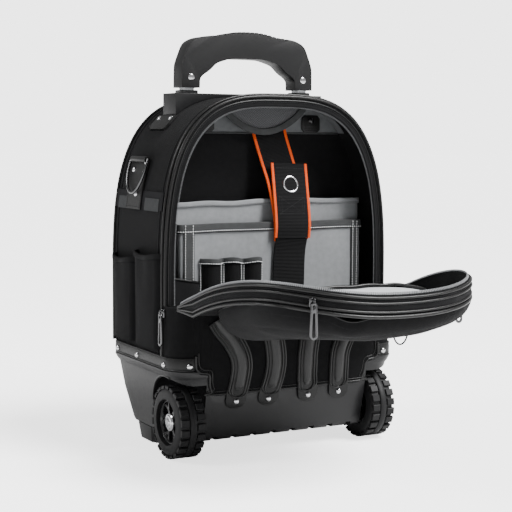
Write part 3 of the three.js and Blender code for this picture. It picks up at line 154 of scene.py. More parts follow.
class Shader:
    """A material's node tree with short calls for the nodes used here."""

    def __init__(self, name, base, rough, metal=0.0, spec=0.5):
        self.mat = bpy.data.materials.new(name)
        self.mat.use_nodes = True
        self.tree = self.mat.node_tree
        self.bsdf = self.tree.nodes["Principled BSDF"]
        self.bsdf.inputs["Base Color"].default_value = colour(base)
        self.bsdf.inputs["Roughness"].default_value = rough
        self.bsdf.inputs["Metallic"].default_value = metal
        self.bsdf.inputs["Specular IOR Level"].default_value = spec
        self.coords = self.tree.nodes.new("ShaderNodeTexCoord")
        self.height = None

    def node(self, kind, inputs=None, **settings):
        made = self.tree.nodes.new(kind)
        for key, value in settings.items():
            setattr(made, key, value)
        for key, value in (inputs or {}).items():
            if isinstance(value, bpy.types.NodeSocket):
                self.tree.links.new(value, made.inputs[key])
            else:
                made.inputs[key].default_value = value
        return made

    def math(self, operation, a, b=0.0, c=0.0):
        return self.node("ShaderNodeMath", {0: a, 1: b, 2: c}, operation=operation).outputs[0]

    def noise(self, size_mm, detail=2.0, stretch=None):
        vector = self.coords.outputs["Object"]
        if stretch:
            vector = self.node("ShaderNodeMapping", {"Vector": vector, "Scale": stretch}).outputs[0]
        return self.node("ShaderNodeTexNoise", {
            "Vector": vector, "Scale": 1 / (size_mm * MM), "Detail": detail}).outputs["Fac"]

    def thread(self, axis, pitch_mm, shift=0.0):
        """A wave along one of the piece's two cloth directions, from -1 to 1."""
        split = self.node("ShaderNodeSeparateXYZ", {"Vector": self.coords.outputs["UV"]})
        turned = self.math("MULTIPLY", split.outputs[axis], 2 * math.pi / (pitch_mm * MM))
        return self.math("SINE", self.math("ADD", turned, shift))

    def vary(self, fac, low, high):
        """Base colour between two hex colours by a factor."""
        mix = self.node("ShaderNodeMix", {"Factor": fac, "A": colour(low), "B": colour(high)},
                        data_type="RGBA")
        self.tree.links.new(mix.outputs["Result"], self.bsdf.inputs["Base Color"])
        return self

    def rough(self, fac, low, high):
        ranged = self.node("ShaderNodeMapRange", {"Value": fac, "To Min": low, "To Max": high})
        self.tree.links.new(ranged.outputs[0], self.bsdf.inputs["Roughness"])
        return self

    def bump(self, fac, depth_mm):
        inputs = {"Height": fac, "Strength": 1.0, "Distance": depth_mm * MM}
        if self.height is not None:
            inputs["Normal"] = self.height
        made = self.node("ShaderNodeBump", inputs)
        self.height = made.outputs["Normal"]
        self.tree.links.new(self.height, self.bsdf.inputs["Normal"])
        return self


def cloth(name, base, dark, pitch=1.5, depth=0.12, rough=0.85, fuzz=0.02):
    """Woven cloth: threads both ways, slightly uneven in tone."""
    made = Shader(name, base, rough, spec=0.08)
    warp = made.thread(0, pitch)
    weft = made.thread(1, pitch)
    made.vary(made.noise(9.0, 3.0), dark, base)
    made.bump(made.math("MULTIPLY", warp, weft), depth)
    made.bump(made.noise(28.0, 2.0), 0.5)
    made.bsdf.inputs["Sheen Weight"].default_value = fuzz
    made.bsdf.inputs["Sheen Roughness"].default_value = 0.5
    return made.mat


def ribbed(name, base, dark, axis=1, pitch=2.4, depth=0.3):
    """Webbing with ribs across one of its directions."""
    made = Shader(name, base, 0.75, spec=0.1)
    rib = made.thread(axis, pitch)
    made.vary(made.math("MULTIPLY_ADD", rib, 0.5, 0.5), dark, base)
    made.bump(rib, depth)
    made.bump(made.thread(1 - axis, 1.1), 0.08)
    return made.mat


def leather(name, base, dark, rough=0.42):
    """Coated trim with a fine grain."""
    made = Shader(name, base, rough, spec=0.3)
    cells = made.node("ShaderNodeTexVoronoi", {
        "Vector": made.coords.outputs["Object"], "Scale": 1 / (1.3 * MM)}, feature="DISTANCE_TO_EDGE")
    made.vary(made.noise(14.0), dark, base)
    made.bump(cells.outputs["Distance"], 0.12)
    made.rough(made.noise(5.0), rough - 0.06, rough + 0.12)
    return made.mat


def moulded(name, base, dark, rough=0.42, grain=0.5, depth=0.03, spec=0.35):
    """Moulded plastic or rubber with a spark-eroded grain."""
    made = Shader(name, base, rough, spec=spec)
    made.vary(made.noise(60.0), dark, base)
    made.bump(made.noise(grain, 1.0), depth)
    made.rough(made.noise(7.0), rough - 0.04, rough + 0.08)
    return made.mat


def metal(name, base, rough, stretch=None, depth=0.0):
    made = Shader(name, base, rough, metal=1.0)
    if stretch:
        made.bump(made.noise(1.0, 1.0, stretch), depth)
    made.rough(made.noise(6.0), max(rough - 0.04, 0.02), rough + 0.05)
    return made.mat


def open_mesh(name, base, dark, pitch=3.0, depth=0.5):
    """Spacer mesh: rows of small round holes, drawn as dark pits."""
    made = Shader(name, base, 0.8, spec=0.08)
    across = made.thread(0, pitch)
    along = made.thread(1, pitch)
    pits = made.math("MULTIPLY", across, along)
    level = made.node("ShaderNodeMapRange", {"Value": pits, "From Min": -0.1, "From Max": 0.55}).outputs[0]
    made.vary(level, dark, base)
    made.bump(level, depth)
    return made.mat


NYLON = cloth("ballistic_nylon_black", "#141415", "#0c0c0d", pitch=1.7, depth=0.16)
NYLON_SOFT = cloth("nylon_fold_black", "#161617", "#0d0d0e", pitch=1.3, depth=0.1, fuzz=0.04)
LINING = cloth("lining_mid_grey", "#6f7172", "#5c5e60", pitch=1.2, depth=0.1)
SLEEVE = cloth("sleeve_grey", "#8b8d8f", "#77797b", pitch=1.2, depth=0.1)
BINDING_GREY = cloth("binding_dark_grey", "#474849", "#383939", pitch=1.6, depth=0.2)
PALE = cloth("liner_pale_grey", "#c4c6c8", "#b6b8ba", pitch=1.2, depth=0.08)
SIDE_GREY = cloth("webbing_loop_grey", "#3a3b3c", "#2e2f30", pitch=1.8, depth=0.2)
PIPING = leather("piping_black", "#171717", "#101010", rough=0.28)
# A lighter copy of the piping: painted highlight, so that the door gusset's pipings read as lit ridges.
PIPING_HIGHLIT = leather("piping_painted_highlight_charcoal", "#1d1d1d", "#151515", rough=0.28)
TRIM = leather("trim_black_grained", "#121212", "#0c0c0c")
RIB_FACE = leather("rib_face_charcoal", "#2c2c2c", "#222222", rough=0.36)
WEBBING = ribbed("strap_webbing_black", "#1a1a1b", "#0c0c0d")
WEBBING_SIDE = ribbed("side_webbing_nylon", "#1d1d1f", "#101011", axis=2, pitch=2.2, depth=0.25)
BINDING_BLACK = ribbed("binding_black", "#161617", "#0b0b0c", pitch=1.6, depth=0.15)
EDGE_ORANGE = ribbed("edge_tape_orange", "#e85a26", "#c8471a", pitch=2.0, depth=0.15)
MESH_GREY = open_mesh("flap_mesh_grey", "#77777a", "#3f4041")
MESH_BLACK = open_mesh("pocket_mesh_black", "#242425", "#0a0a0b", pitch=2.6)
BACK_MESH = open_mesh("back_mesh_black", "#151516", "#080809", pitch=4.0)
BASE_PLASTIC = moulded("base_plastic_charcoal", "#1a1a1b", "#141415", rough=0.36)
HUB_PLASTIC = moulded("hub_plastic_black", "#151516", "#0e0e0f", rough=0.22, spec=0.55)
GRIP_RUBBER = moulded("grip_rubber_black", "#101011", "#0b0b0c", rough=0.4, depth=0.05, spec=0.3)
TYRE_RUBBER = moulded("tyre_rubber_black", "#171718", "#101011", rough=0.55, depth=0.05, spec=0.25)
# A lighter copy of the zip teeth: painted highlight on the door's half of the zip, which faces up into the light.
TEETH_HIGHLIT = moulded("zip_teeth_painted_highlight", "#8d8e90", "#6d6e70", rough=0.28)
TEETH = moulded("zip_teeth_grey", "#5e5f61", "#4b4c4d", rough=0.3)
TEETH_DARK = moulded("zip_teeth_black", "#2b2b2c", "#1f1f20", rough=0.35)
THREAD_DARK = moulded("thread_dark", "#303031", "#242425", rough=0.6, spec=0.15)
THREAD_LIGHT = moulded("thread_light", "#e2e3e4", "#cecfd0", rough=0.7, spec=0.1)
CHROME = metal("polished_chrome", "#cfcfd1", 0.12)
PULL_METAL = metal("pull_nickel_dark", "#585859", 0.2)
ALUMINIUM = metal("rod_aluminium_brushed", "#b9bbbe", 0.28, (1.0, 1.0, 0.02), 0.03)
STEEL = metal("axle_steel", "#8f9194", 0.35)


# The colour slot that each finish belongs to
SLOT_FINISHES = {
    "nylon": (NYLON, NYLON_SOFT, MESH_BLACK),
    "grey_cloth": (LINING, SLEEVE, BINDING_GREY, SIDE_GREY, MESH_GREY),
    "pale_cloth": (PALE,),
    "leather_trim": (PIPING, PIPING_HIGHLIT, TRIM, RIB_FACE),
    "webbing": (WEBBING, WEBBING_SIDE, BINDING_BLACK, EDGE_ORANGE),
    "back_mesh": (BACK_MESH,),
    "moulded": (BASE_PLASTIC,),
    "hub_plastic": (HUB_PLASTIC,),
    "grip_rubber": (GRIP_RUBBER,),
    "tyre": (TYRE_RUBBER,),
    "chrome": (CHROME, PULL_METAL),
    "aluminium": (ALUMINIUM,),
}
SLOT_OF = {finish.name: slot for slot, finishes in SLOT_FINISHES.items() for finish in finishes}


# Meshes
def closed_mesh(name, points, faces):
    """A mesh from points in metres, with its faces turned outwards."""
    mesh = bpy.data.meshes.new(name)
    mesh.from_pydata(points.tolist(), [], [tuple(int(i) for i in f) for f in faces])
    bm = bmesh.new()
    bm.from_mesh(mesh)
    bmesh.ops.recalc_face_normals(bm, faces=bm.faces)
    bm.to_mesh(mesh)
    bm.free()
    return mesh


def shade(mesh, sharp):
    mesh.polygons.foreach_set("use_smooth", np.ones(len(mesh.polygons), bool))
    mesh.set_sharp_from_angle(angle=math.radians(sharp))


def put(name, data):
    """An object in the scene."""
    made = bpy.data.objects.new(name, data)
    bpy.context.collection.objects.link(made)
    return made


def make(name, points, faces, material, body="bag", sharp=38.0, uv=None, stands_for=(), slot=None):
    """One closed piece from points in millimetres; uv, in metres, is given for each point."""
    mesh = closed_mesh(name, metres(points), faces)
    if uv is not None:
        corners = np.empty(len(mesh.loops), np.int32)
        mesh.loops.foreach_get("vertex_index", corners)
        layer = mesh.uv_layers.new(name="UVMap")
        layer.data.foreach_set("uv", np.asarray(uv, np.float32)[corners].ravel())
    return finish_piece(name, mesh, material, body, sharp, stands_for, slot)


def finish_piece(name, mesh, material, body, sharp, stands_for, slot=None):
    shade(mesh, sharp)
    piece = put(name, mesh)
    if not mesh.materials:
        mesh.materials.append(material)
    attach(piece, body)
    if stands_for:
        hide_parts(stands_for)
    slot = slot or SLOT_OF.get(material.name)
    return piece


def lengths_along(line):
    steps = np.linalg.norm(np.diff(line, axis=0), axis=1)
    return np.concatenate([[0.0], np.cumsum(steps)])


def resample(line, count=None, pitch=None, closed=False):
    """Evenly spaced points on a line."""
    line = np.asarray(line, float)
    if closed:
        line = np.vstack([line, line[:1]])
    reach = lengths_along(line)
    if count is None:
        count = max(2, int(round(reach[-1] / pitch)) + (0 if closed else 1))
    at = np.linspace(0, reach[-1], count, endpoint=not closed)
    return np.stack([np.interp(at, reach, line[:, k]) for k in range(line.shape[1])], axis=1)


def smooth_line(points, count, closed=False):
    """A soft curve through a short table of points (Catmull-Rom), evenly resampled."""
    p = np.asarray(points, float)
    ring = [p[-1:], p, p[:2]] if closed else [2 * p[:1] - p[1:2], p, 2 * p[-1:] - p[-2:-1]]
    p = np.vstack(ring)
    out = []
    t = np.linspace(0, 1, 16, endpoint=False)[:, None]
    for a, b, c, d in zip(p[:-3], p[1:-2], p[2:-1], p[3:]):
        out.append(0.5 * (2 * b + (c - a) * t + (2 * a - 5 * b + 4 * c - d) * t ** 2
                          + (3 * b - a - 3 * c + d) * t ** 3))
    if not closed:
        out.append(p[-2:-1])
    return resample(np.vstack(out), count, closed=closed)


def tangents(line, closed=False):
    if closed:
        return unit(np.roll(line, -1, axis=0) - np.roll(line, 1, axis=0))
    return unit(np.gradient(line, axis=0))


def frames(line, out, closed=False):
    """Tangent, sideways and outward directions along a line."""
    along = tangents(line, closed)
    out = np.broadcast_to(np.asarray(out, float), line.shape)
    side = unit(np.cross(out, along))
    return along, side, unit(np.cross(along, side))


def slab(width, thickness, lift=0.0, corner=0.35, steps=3):
    """A flat tape's section with rounded edges: (sideways, outward) points, lying on the line."""
    r = min(thickness, width) * corner
    points = []
    for x, y, first in ((1, 1, 0), (-1, 1, 1), (-1, -1, 2), (1, -1, 3)):
        centre = (x * (width / 2 - r), thickness / 2 + y * (thickness / 2 - r) + lift)
        for k in range(steps + 1):
            a = math.pi / 2 * (first + k / steps)
            points.append((centre[0] + r * math.cos(a), centre[1] + r * math.sin(a)))
    return np.array(points)


def round_section(radius, sides=10, flat=1.0, lift=0.0):
    a = full_turn(sides)
    return np.stack([radius * np.cos(a), radius * flat * np.sin(a) + lift], axis=1)


def sweep(name, line, section, material, out=(0, 0, 1), closed=False, scale=None, body="bag", sharp=38.0,
          **rest):
    """A section drawn along a line; scale changes it from point to point."""
    line = np.asarray(line, float)
    section = np.asarray(section, float)
    _, side, up = frames(line, out, closed)
    scale = np.ones((len(line), 2)) if scale is None else np.asarray(scale, float).reshape(len(line), -1)
    wide, high = scale[:, :1], scale[:, -1:]
    n, m = len(line), len(section)
    points = (line[:, None] + side[:, None] * (section[None, :, :1] * wide[:, None])
              + up[:, None] * (section[None, :, 1:] * high[:, None])).reshape(-1, 3)
    reach = lengths_along(np.vstack([line, line[:1]]) if closed else line)[:n]
    girth = lengths_along(section)
    uv = np.stack(np.meshgrid(girth, reach), axis=-1).reshape(-1, 2) * MM
    faces = []
    for i in range(n if closed else n - 1):
        j = (i + 1) % n
        for k in range(m):
            q = (k + 1) % m
            faces.append((i * m + k, i * m + q, j * m + q, j * m + k))
    if not closed:
        faces.append(tuple(range(m)))
        faces.append(tuple((n - 1) * m + k for k in reversed(range(m))))
    return make(name, points, faces, material, body=body, sharp=sharp, uv=uv, **rest)


NARROWEST_SHEET = 12.0


def declare_sheet(outer, around):
    """Works out the flat width and length that the piece's own grid has; nothing is done with them."""
    grid = np.concatenate([outer, outer[:1]]) if around else outer
    steps = np.linalg.norm(np.diff(grid, axis=0), axis=2).sum(axis=0)
    runs = np.linalg.norm(np.diff(grid, axis=1), axis=2).sum(axis=1)
    a, b = grid[1:, 1:] - grid[:-1, :-1], grid[1:, :-1] - grid[:-1, 1:]
    area = float(np.linalg.norm(np.cross(a, b), axis=2).sum() / 2)
    width, length = float(steps.max()), float(runs.max())
    if min(width, length) < NARROWEST_SHEET:
        return
    if area < 0.32 * width * length:
        width = area / (0.6 * length)


def cloth_sheet(name, outer, thickness, material, around=False, normal=None, held="stretched", rests_on=(),
                **rest):
    """A closed sheet behind a grid of points; thickness is measured along the grid's normals."""
    outer = np.asarray(outer, float)
    n, m = outer.shape[:2]
    if normal is None:
        if around:
            du = np.roll(outer, -1, axis=0) - np.roll(outer, 1, axis=0)
        else:
            du = np.gradient(outer, axis=0)
        normal = unit(np.cross(du, np.gradient(outer, axis=1)))
    inner = outer - normal * thickness
    points = np.concatenate([outer.reshape(-1, 3), inner.reshape(-1, 3)])
    u = np.concatenate([[0], np.cumsum(np.linalg.norm(np.diff(outer[:, m // 2], axis=0), axis=1))])
    v = np.concatenate([[0], np.cumsum(np.linalg.norm(np.diff(outer[n // 2], axis=0), axis=1))])
    uv = np.stack(np.meshgrid(u, v, indexing="ij"), axis=-1).reshape(-1, 2) * MM
    faces = []
    count = n * m
    columns = n if around else n - 1
    for i in range(columns):
        j = (i + 1) % n
        for k in range(m - 1):
            a, b, c, d = i * m + k, j * m + k, j * m + k + 1, i * m + k + 1
            faces.append((a, b, c, d))
            faces.append((count + a, count + d, count + c, count + b))
        a, b = i * m, j * m
        faces.append((b, a, count + a, count + b))
        a, b = i * m + m - 1, j * m + m - 1
        faces.append((a, b, count + b, count + a))
    if not around:
        for k in range(m - 1):
            faces.append((k, k + 1, count + k + 1, count + k))
            a = (n - 1) * m + k
            faces.append((a + 1, a, count + a, count + a + 1))
    piece = make(name, points, faces, material, uv=np.tile(uv, (2, 1)), **rest)
    if held:
        declare_sheet(outer, around)
    return piece


def ripple(a, b, seed, size, count=7):
    """Soft creases: a sum of long waves over two directions in millimetres, about -1 to 1."""
    rng = np.random.default_rng(seed)
    total = np.zeros(np.broadcast(a, b).shape)
    for _ in range(count):
        turn, phase = rng.uniform(0, math.pi), rng.uniform(0, 2 * math.pi)
        pitch = size * rng.uniform(0.6, 1.7)
        total += np.sin((a * math.cos(turn) + b * math.sin(turn)) * 2 * math.pi / pitch + phase)
    return total / (0.6 * count)


# Repeats: one small unit set on every point of a row
def repeat_tree():
    tree = bpy.data.node_groups.new("set_on_points", "GeometryNodeTree")
    for word, way, kind in (("Points", "INPUT", "Geometry"), ("Unit", "INPUT", "Object"),
                            ("Unevenness", "INPUT", "Float"), ("Seed", "INPUT", "Int"),
                            ("Finish", "INPUT", "Material"), ("Pieces", "OUTPUT", "Geometry")):
        tree.interface.new_socket(word, in_out=way, socket_type="NodeSocket" + kind)
    nodes, links = tree.nodes, tree.links
    given, result = nodes.new("NodeGroupInput"), nodes.new("NodeGroupOutput")
    info = nodes.new("GeometryNodeObjectInfo")
    links.new(given.outputs["Unit"], info.inputs["Object"])
    turn = None
    for axis, word in (("Z", "out"), ("X", "along")):
        read = nodes.new("GeometryNodeInputNamedAttribute")
        read.data_type = "FLOAT_VECTOR"
        read.inputs["Name"].default_value = word
        align = nodes.new("FunctionNodeAlignRotationToVector")
        align.axis = axis
        align.pivot_axis = "AUTO" if axis == "Z" else "Z"
        links.new(read.outputs["Attribute"], align.inputs["Vector"])
        if turn is not None:
            links.new(turn.outputs[0], align.inputs["Rotation"])
        turn = align
    spread = nodes.new("FunctionNodeRandomValue")
    spread.data_type = "FLOAT"
    least = nodes.new("ShaderNodeMath")
    least.operation = "SUBTRACT"
    least.inputs[0].default_value = 1.0
    links.new(given.outputs["Unevenness"], least.inputs[1])
    links.new(least.outputs[0], spread.inputs["Min"])
    links.new(given.outputs["Seed"], spread.inputs["Seed"])
    put = nodes.new("GeometryNodeInstanceOnPoints")
    links.new(given.outputs["Points"], put.inputs["Points"])
    links.new(info.outputs["Geometry"], put.inputs["Instance"])
    links.new(turn.outputs[0], put.inputs["Rotation"])
    links.new(spread.outputs["Value"], put.inputs["Scale"])
    real, finish = nodes.new("GeometryNodeRealizeInstances"), nodes.new("GeometryNodeSetMaterial")
    links.new(put.outputs[0], real.inputs[0])
    links.new(real.outputs[0], finish.inputs["Geometry"])
    links.new(given.outputs["Finish"], finish.inputs["Material"])
    links.new(finish.outputs[0], result.inputs[0])
    return tree


REPEAT = repeat_tree()


def repeats(name, points, along, out, shape, material, unevenness=0.0, seed=1, body="bag", stands_for=()):
    """One piece made of a shape set on each point, its X along the row and its Z outwards."""
    cloud = bpy.data.meshes.new(name + "_points")
    cloud.from_pydata(metres(points).tolist(), [], [])
    for word, value in (("along", along), ("out", out)):
        value = np.ascontiguousarray(np.broadcast_to(value, (len(points), 3)), np.float32)
        cloud.attributes.new(word, "FLOAT_VECTOR", "POINT").data.foreach_set("vector", value.ravel())
    carrier, one = put(name + "_points", cloud), put(name + "_unit", shape)
    modifier = carrier.modifiers.new("set_on_points", "NODES")
    modifier.node_group = REPEAT
    given = {"Unit": one, "Unevenness": unevenness, "Seed": seed, "Finish": material}
    for item in REPEAT.interface.items_tree:
        if item.item_type == "SOCKET" and item.name in given:
            modifier[item.identifier] = given[item.name]
    mesh = evaluated_mesh(carrier)
    for o in (carrier, one):
        bpy.data.objects.remove(o)
    mesh.name = name
    return finish_piece(name, mesh, material, body, 40.0, stands_for)


def evaluated_mesh(piece):
    bpy.context.view_layer.update()
    graph = bpy.context.evaluated_depsgraph_get()
    return bpy.data.meshes.new_from_object(piece.evaluated_get(graph), depsgraph=graph)


def apply_modifiers(piece, sharp=38.0):
    mesh = evaluated_mesh(piece)
    piece.modifiers.clear()
    piece.data = mesh
    shade(mesh, sharp)


def carve(piece, cutters, operation="DIFFERENCE"):
    """Cuts or joins closed shapes, which are then removed."""
    for cutter in cutters:
        modifier = piece.modifiers.new("carve", "BOOLEAN")
        modifier.operation = operation
        modifier.solver = "EXACT"
        modifier.object = cutter
    apply_modifiers(piece)
    for cutter in cutters:
        bpy.data.objects.remove(cutter)


def soften(piece, width, segments=2):
    modifier = piece.modifiers.new("soften", "BEVEL")
    modifier.width = width * MM
    modifier.segments = segments
    modifier.limit_method = "ANGLE"
    modifier.angle_limit = math.radians(32)
    apply_modifiers(piece)


def shape_only(name, points, faces):
    """A closed shape for cutting or joining, not a piece."""
    return put(name, closed_mesh(name, metres(points), faces))


AXIS_ORDER = {0: (2, 0, 1), 1: (0, 2, 1), 2: (0, 1, 2)}


def prism(outline, low, high, axis):
    """Points and faces of an outline drawn out along x, y or z (0, 1 or 2)."""
    outline = np.asarray(outline, float)
    n = len(outline)
    rings = [np.column_stack([outline, np.full(n, level)])[:, AXIS_ORDER[axis]] for level in (low, high)]
    faces = [tuple(range(n)), tuple(n + i for i in reversed(range(n)))]
    faces += [(i, (i + 1) % n, n + (i + 1) % n, n + i) for i in range(n)]
    return np.vstack(rings), faces


def box_shape(x0, x1, y0, y1, z0, z1):
    return shape_only("cut", *prism([(x0, y0), (x1, y0), (x1, y1), (x0, y1)], z0, z1, 2))


def disc_shape(x0, x1, y, z, radius, sides=96):
    a = full_turn(sides)
    return shape_only("cut", *prism(np.stack([y + radius * np.cos(a), z + radius * np.sin(a)], 1), x0, x1, 0))


def stack_rings(rings, cap=True):
    """Points and faces through rings of equal count."""
    rings = np.asarray(rings, float)
    n, m = rings.shape[:2]
    faces = [(i * m + k, i * m + (k + 1) % m, (i + 1) * m + (k + 1) % m, (i + 1) * m + k)
             for i in range(n - 1) for k in range(m)]
    if cap:
        faces += [tuple(reversed(range(m))), tuple((n - 1) * m + k for k in range(m))]
    else:
        faces += [((n - 1) * m + k, (n - 1) * m + (k + 1) % m, (k + 1) % m, k) for k in range(m)]
    return rings.reshape(-1, 3), faces


def turned(profile, sides, axis=2, centre=(0, 0, 0)):
    """Points and faces of a closed shape turned about an axis, from (radius, along) with ends at 0."""
    a = full_turn(sides)
    points, rings, faces = [], [], []
    for radius, along in profile:
        if radius < 1e-6:
            rings.append([len(points)])
            points.append((0, 0, along))
            continue
        rings.append(list(range(len(points), len(points) + sides)))
        points += [(radius * math.cos(t), radius * math.sin(t), along) for t in a]
    for low, high in zip(rings[:-1], rings[1:]):
        for k in range(sides):
            q = (k + 1) % sides
            if len(low) == 1:
                faces.append((low[0], high[k], high[q]))
            elif len(high) == 1:
                faces.append((low[k], low[q], high[0]))
            else:
                faces.append((low[k], low[q], high[q], high[k]))
    return np.array(points)[:, AXIS_ORDER[axis]] + np.array(centre), faces


def unit_mesh(name, points, faces):
    return closed_mesh(name, np.asarray(points, float) * MM, faces)


def rounded_block(x, y, z, cut):
    """A block with its upper edges cut back, lying on z = 0."""
    rings = []
    for level, inset in ((0, 0), (z - cut, 0), (z, cut)):
        a, b = x / 2 - inset, y / 2 - inset
        rings.append([(a, b, level), (-a, b, level), (-a, -b, level), (a, -b, level)])
    return stack_rings(rings)


SNAP = unit_mesh("snap", *turned([(0, 0), (5.8, 0), (6.0, 0.8), (5.2, 2.2), (3.4, 3.2), (0, 3.6)], 24))
LUG = unit_mesh("lug", *rounded_block(11.0, 14.2, 5.2, 0.9))
STITCH = unit_mesh("stitch", *turned([(0, -1.3), (0.4, -0.8), (0.4, 0.8), (0, 1.3)], 6, axis=0))
BOLD_STITCH = unit_mesh("bold_stitch", *turned([(0, -1.8), (0.7, -1.2), (0.7, 1.2), (0, 1.8)], 6, axis=0))
TOOTH = unit_mesh("tooth", *rounded_block(1.25, 3.4, 1.5, 0.35))
DOOR_TOOTH = unit_mesh("door_tooth", *rounded_block(1.7, 4.2, 1.9, 0.4))
RIVET = unit_mesh("rivet", *turned([(0, 0), (4.9, 0), (5.0, 0.5), (4.6, 1.6), (3.6, 2.6), (2.2, 3.2),
                                    (0, 3.5)],
                                   20))


def resample_like(values, count):
    at = np.linspace(0, len(values) - 1, count)
    return np.stack([np.interp(at, np.arange(len(values)), values[:, k]) for k in range(3)], axis=1)


def stitching(name, rows, material=THREAD_DARK, pitch=3.9, lift=0.1):
    """Rows of stitches: each row is a line and its outward direction."""
    points, along, out = [], [], []
    for line, facing in rows:
        line = resample(line, pitch=pitch)
        a, _, up = frames(line, facing if np.ndim(facing) == 1 else resample_like(facing, len(line)))
        points.append(line + up * lift)
        along.append(a)
        out.append(up)
    shape = BOLD_STITCH if material is THREAD_LIGHT else STITCH
    repeats(name, np.vstack(points), np.vstack(along), np.vstack(out), shape, material, 0.1, 3)


def rivets(name, spots):
    """Domed rivets at places with their outward directions."""
    points = np.array([p for p, _ in spots], float)
    out = unit([o for _, o in spots])
    repeats(name, points, unit(np.cross(out, (0.3, 0.2, 0.9))), out, RIVET, CHROME)


# The camera and the pull cord
FOCAL_PIXELS = 1300.0
IMAGE_PIXELS = 512.0
SENSOR = 36.0
CAMERA_PLACE = (-1063.9, -1992.6, 517.1)
CAMERA_RIGHT = (0.87969, -0.47552, 0.00538)
CAMERA_UP = (0.03758, 0.08079, 0.99602)
CAMERA_AHEAD = (0.47406, 0.87599, -0.08894)


def add_camera():
    data = bpy.data.cameras.new("camera")
    data.sensor_width = SENSOR
    data.lens = FOCAL_PIXELS / IMAGE_PIXELS * SENSOR
    data.dof.use_dof = False
    data.clip_end = 50
    camera = put("camera", data)
    turn = Matrix((CAMERA_RIGHT, CAMERA_UP, [-v for v in CAMERA_AHEAD])).transposed()
    camera.matrix_world = Matrix.Translation(metres(CAMERA_PLACE)[0]) @ turn.to_4x4()
    bpy.context.scene.camera = camera


def add_pull_cord():
    """The loop of thin cord that hangs from the outer pocket; its ends go into the pocket's face."""
    radius, half, hang = 1.3, 14.0, 24.0
    low, high = (np.array(v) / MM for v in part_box("pull_cord"))
    middle = (low + high) / 2 - (0, SHIFT / MM, 0)
    top = low[2] + radius + hang
    angle = np.linspace(0, math.pi, 33)
    line = points_of(middle[0] - half * np.cos(angle), middle[1], top - hang * np.sin(angle))
    cord = sweep("pull_cord_loop", line, round_section(radius, 12), PIPING, out=(0, 1, 0),
                 stands_for="pull_cord")


add_camera()
add_pull_cord()


# The bag's main shapes
def arch_curve(inset=0.0, low=BAND_TOP + GAP, count=241):
    """The arch in x and z from its right foot over the top to its left foot, evenly spaced."""
    a = np.linspace(0, math.pi, 720)
    x = np.sign(np.cos(a)) * np.abs(np.cos(a)) ** (2 / ARCH_POWER) * (BAG_HALF_WIDTH - inset)
    z = ARCH_START + (BAG_TOP - inset - ARCH_START) * np.abs(np.sin(a)) ** (2 / ARCH_POWER)
    foot = BAG_HALF_WIDTH - inset
    line = np.vstack([[foot, low], np.column_stack([x, z]), [-foot, low]])
    return resample(line, count)


def arch_part(inset, low, count):
    """The arch from a height on its right over the top to the same height on its left."""
    whole = arch_curve(inset, ARCH_START, 1200)
    return resample(whole[whole[:, 1] >= low], count)


def arch_line(inset, y, low=BAND_TOP + GAP, count=241):
    flat = arch_curve(inset, low, count)
    return points_of(flat[:, 0], y, flat[:, 1])


def arch_out(count=241, low=BAND_TOP + GAP):
    """Outward directions along the arch."""
    t = tangents(arch_curve(0.0, low, count))
    return np.column_stack([t[:, 1], np.zeros(count), -t[:, 0]])


def arch_x(z, inset=0.0):
    up = np.clip((np.asarray(z, float) - ARCH_START) / (BAG_TOP - inset - ARCH_START), 0, 1)
    return (BAG_HALF_WIDTH - inset) * (1 - up ** ARCH_POWER) ** (1 / ARCH_POWER)


def arch_z(x, inset=0.0):
    across = np.clip(np.abs(x) / (BAG_HALF_WIDTH - inset), 0, 1)
    return ARCH_START + (BAG_TOP - inset - ARCH_START) * (1 - across ** ARCH_POWER) ** (1 / ARCH_POWER)


def side_place(side, z, lift):
    """A place on the arch's flank and its outward direction, as x, z, out x, out z."""
    x = arch_x(z)
    slope = (arch_x(z + 1.0) - arch_x(z - 1.0)) / 2.0
    out = unit(np.column_stack([np.ones_like(x), -slope]))
    return side * (x + out[:, 0] * lift), z + out[:, 1] * lift, side * out[:, 0], out[:, 1]


def base_row(z):
    share = np.clip((z - BASE_UNDERSIDE) / (BASE_RIM - BASE_UNDERSIDE), 0, 1)
    width, front, back = (np.interp(share, BASE_SECTIONS[:, 0], BASE_SECTIONS[:, k]) for k in (1, 2, 3))
    return width * BASE_HALF_WIDTH, front * BASE_FRONT, back * BASE_BACK


def plan_ring(z, inset, at=None, corner_steps=9, side_steps=12):
    """The base's outline at a height, drawn in by an inset, from the right of the back round to the right."""
    width, front, back = base_row(z if at is None else at)
    arcs = []
    corners = ((1, back, BASE_CORNER_BACK), (-1, back, BASE_CORNER_BACK),
               (-1, front, BASE_CORNER_FRONT), (1, front, BASE_CORNER_FRONT))
    for quarter, (side, y, radius) in enumerate(corners):
        centre = (side * (width - radius), y - math.copysign(radius, y - HANDLE_Y))
        a = math.pi / 2 * (quarter + np.linspace(0, 1, corner_steps + 1))
        reach = max(radius - inset, 0.5)
        arcs.append(np.column_stack([centre[0] + reach * np.cos(a), centre[1] + reach * np.sin(a)]))
    points = []
    for arc, after in zip(arcs, arcs[1:] + arcs[:1]):
        points.append(arc)
        t = np.linspace(0, 1, side_steps + 1)[1:-1, None]
        points.append(arc[-1] * (1 - t) + after[0] * t)
    flat = np.vstack(points)
    return points_of(flat[:, 0], flat[:, 1], z)


def panel_bulge(x, z):
    up = np.clip((z - PANEL_LOW) / (PANEL_TOP - PANEL_LOW), 0, 1)
    across = np.clip(np.abs(x) / 173.0, 0, 1)
    return 5.0 * np.sin(math.pi * up) * (1 - across ** 2)


def panel_y(x, z):
    return base_row(z)[1] - panel_bulge(x, z)


def door_point(x, s, drop):
    x, s, drop = np.broadcast_arrays(x, s, drop)
    share = s / DOOR_LENGTH
    lift = DOOR_CUP * (x / DOOR_HALF_WIDTH) ** 2 * share - DOOR_SAG * share ** 2
    return np.stack([x, HINGE_Y - s * math.cos(DOOR_TILT),
                     DOOR_HINGE_Z + s * math.sin(DOOR_TILT) + lift - drop],
                    axis=-1)


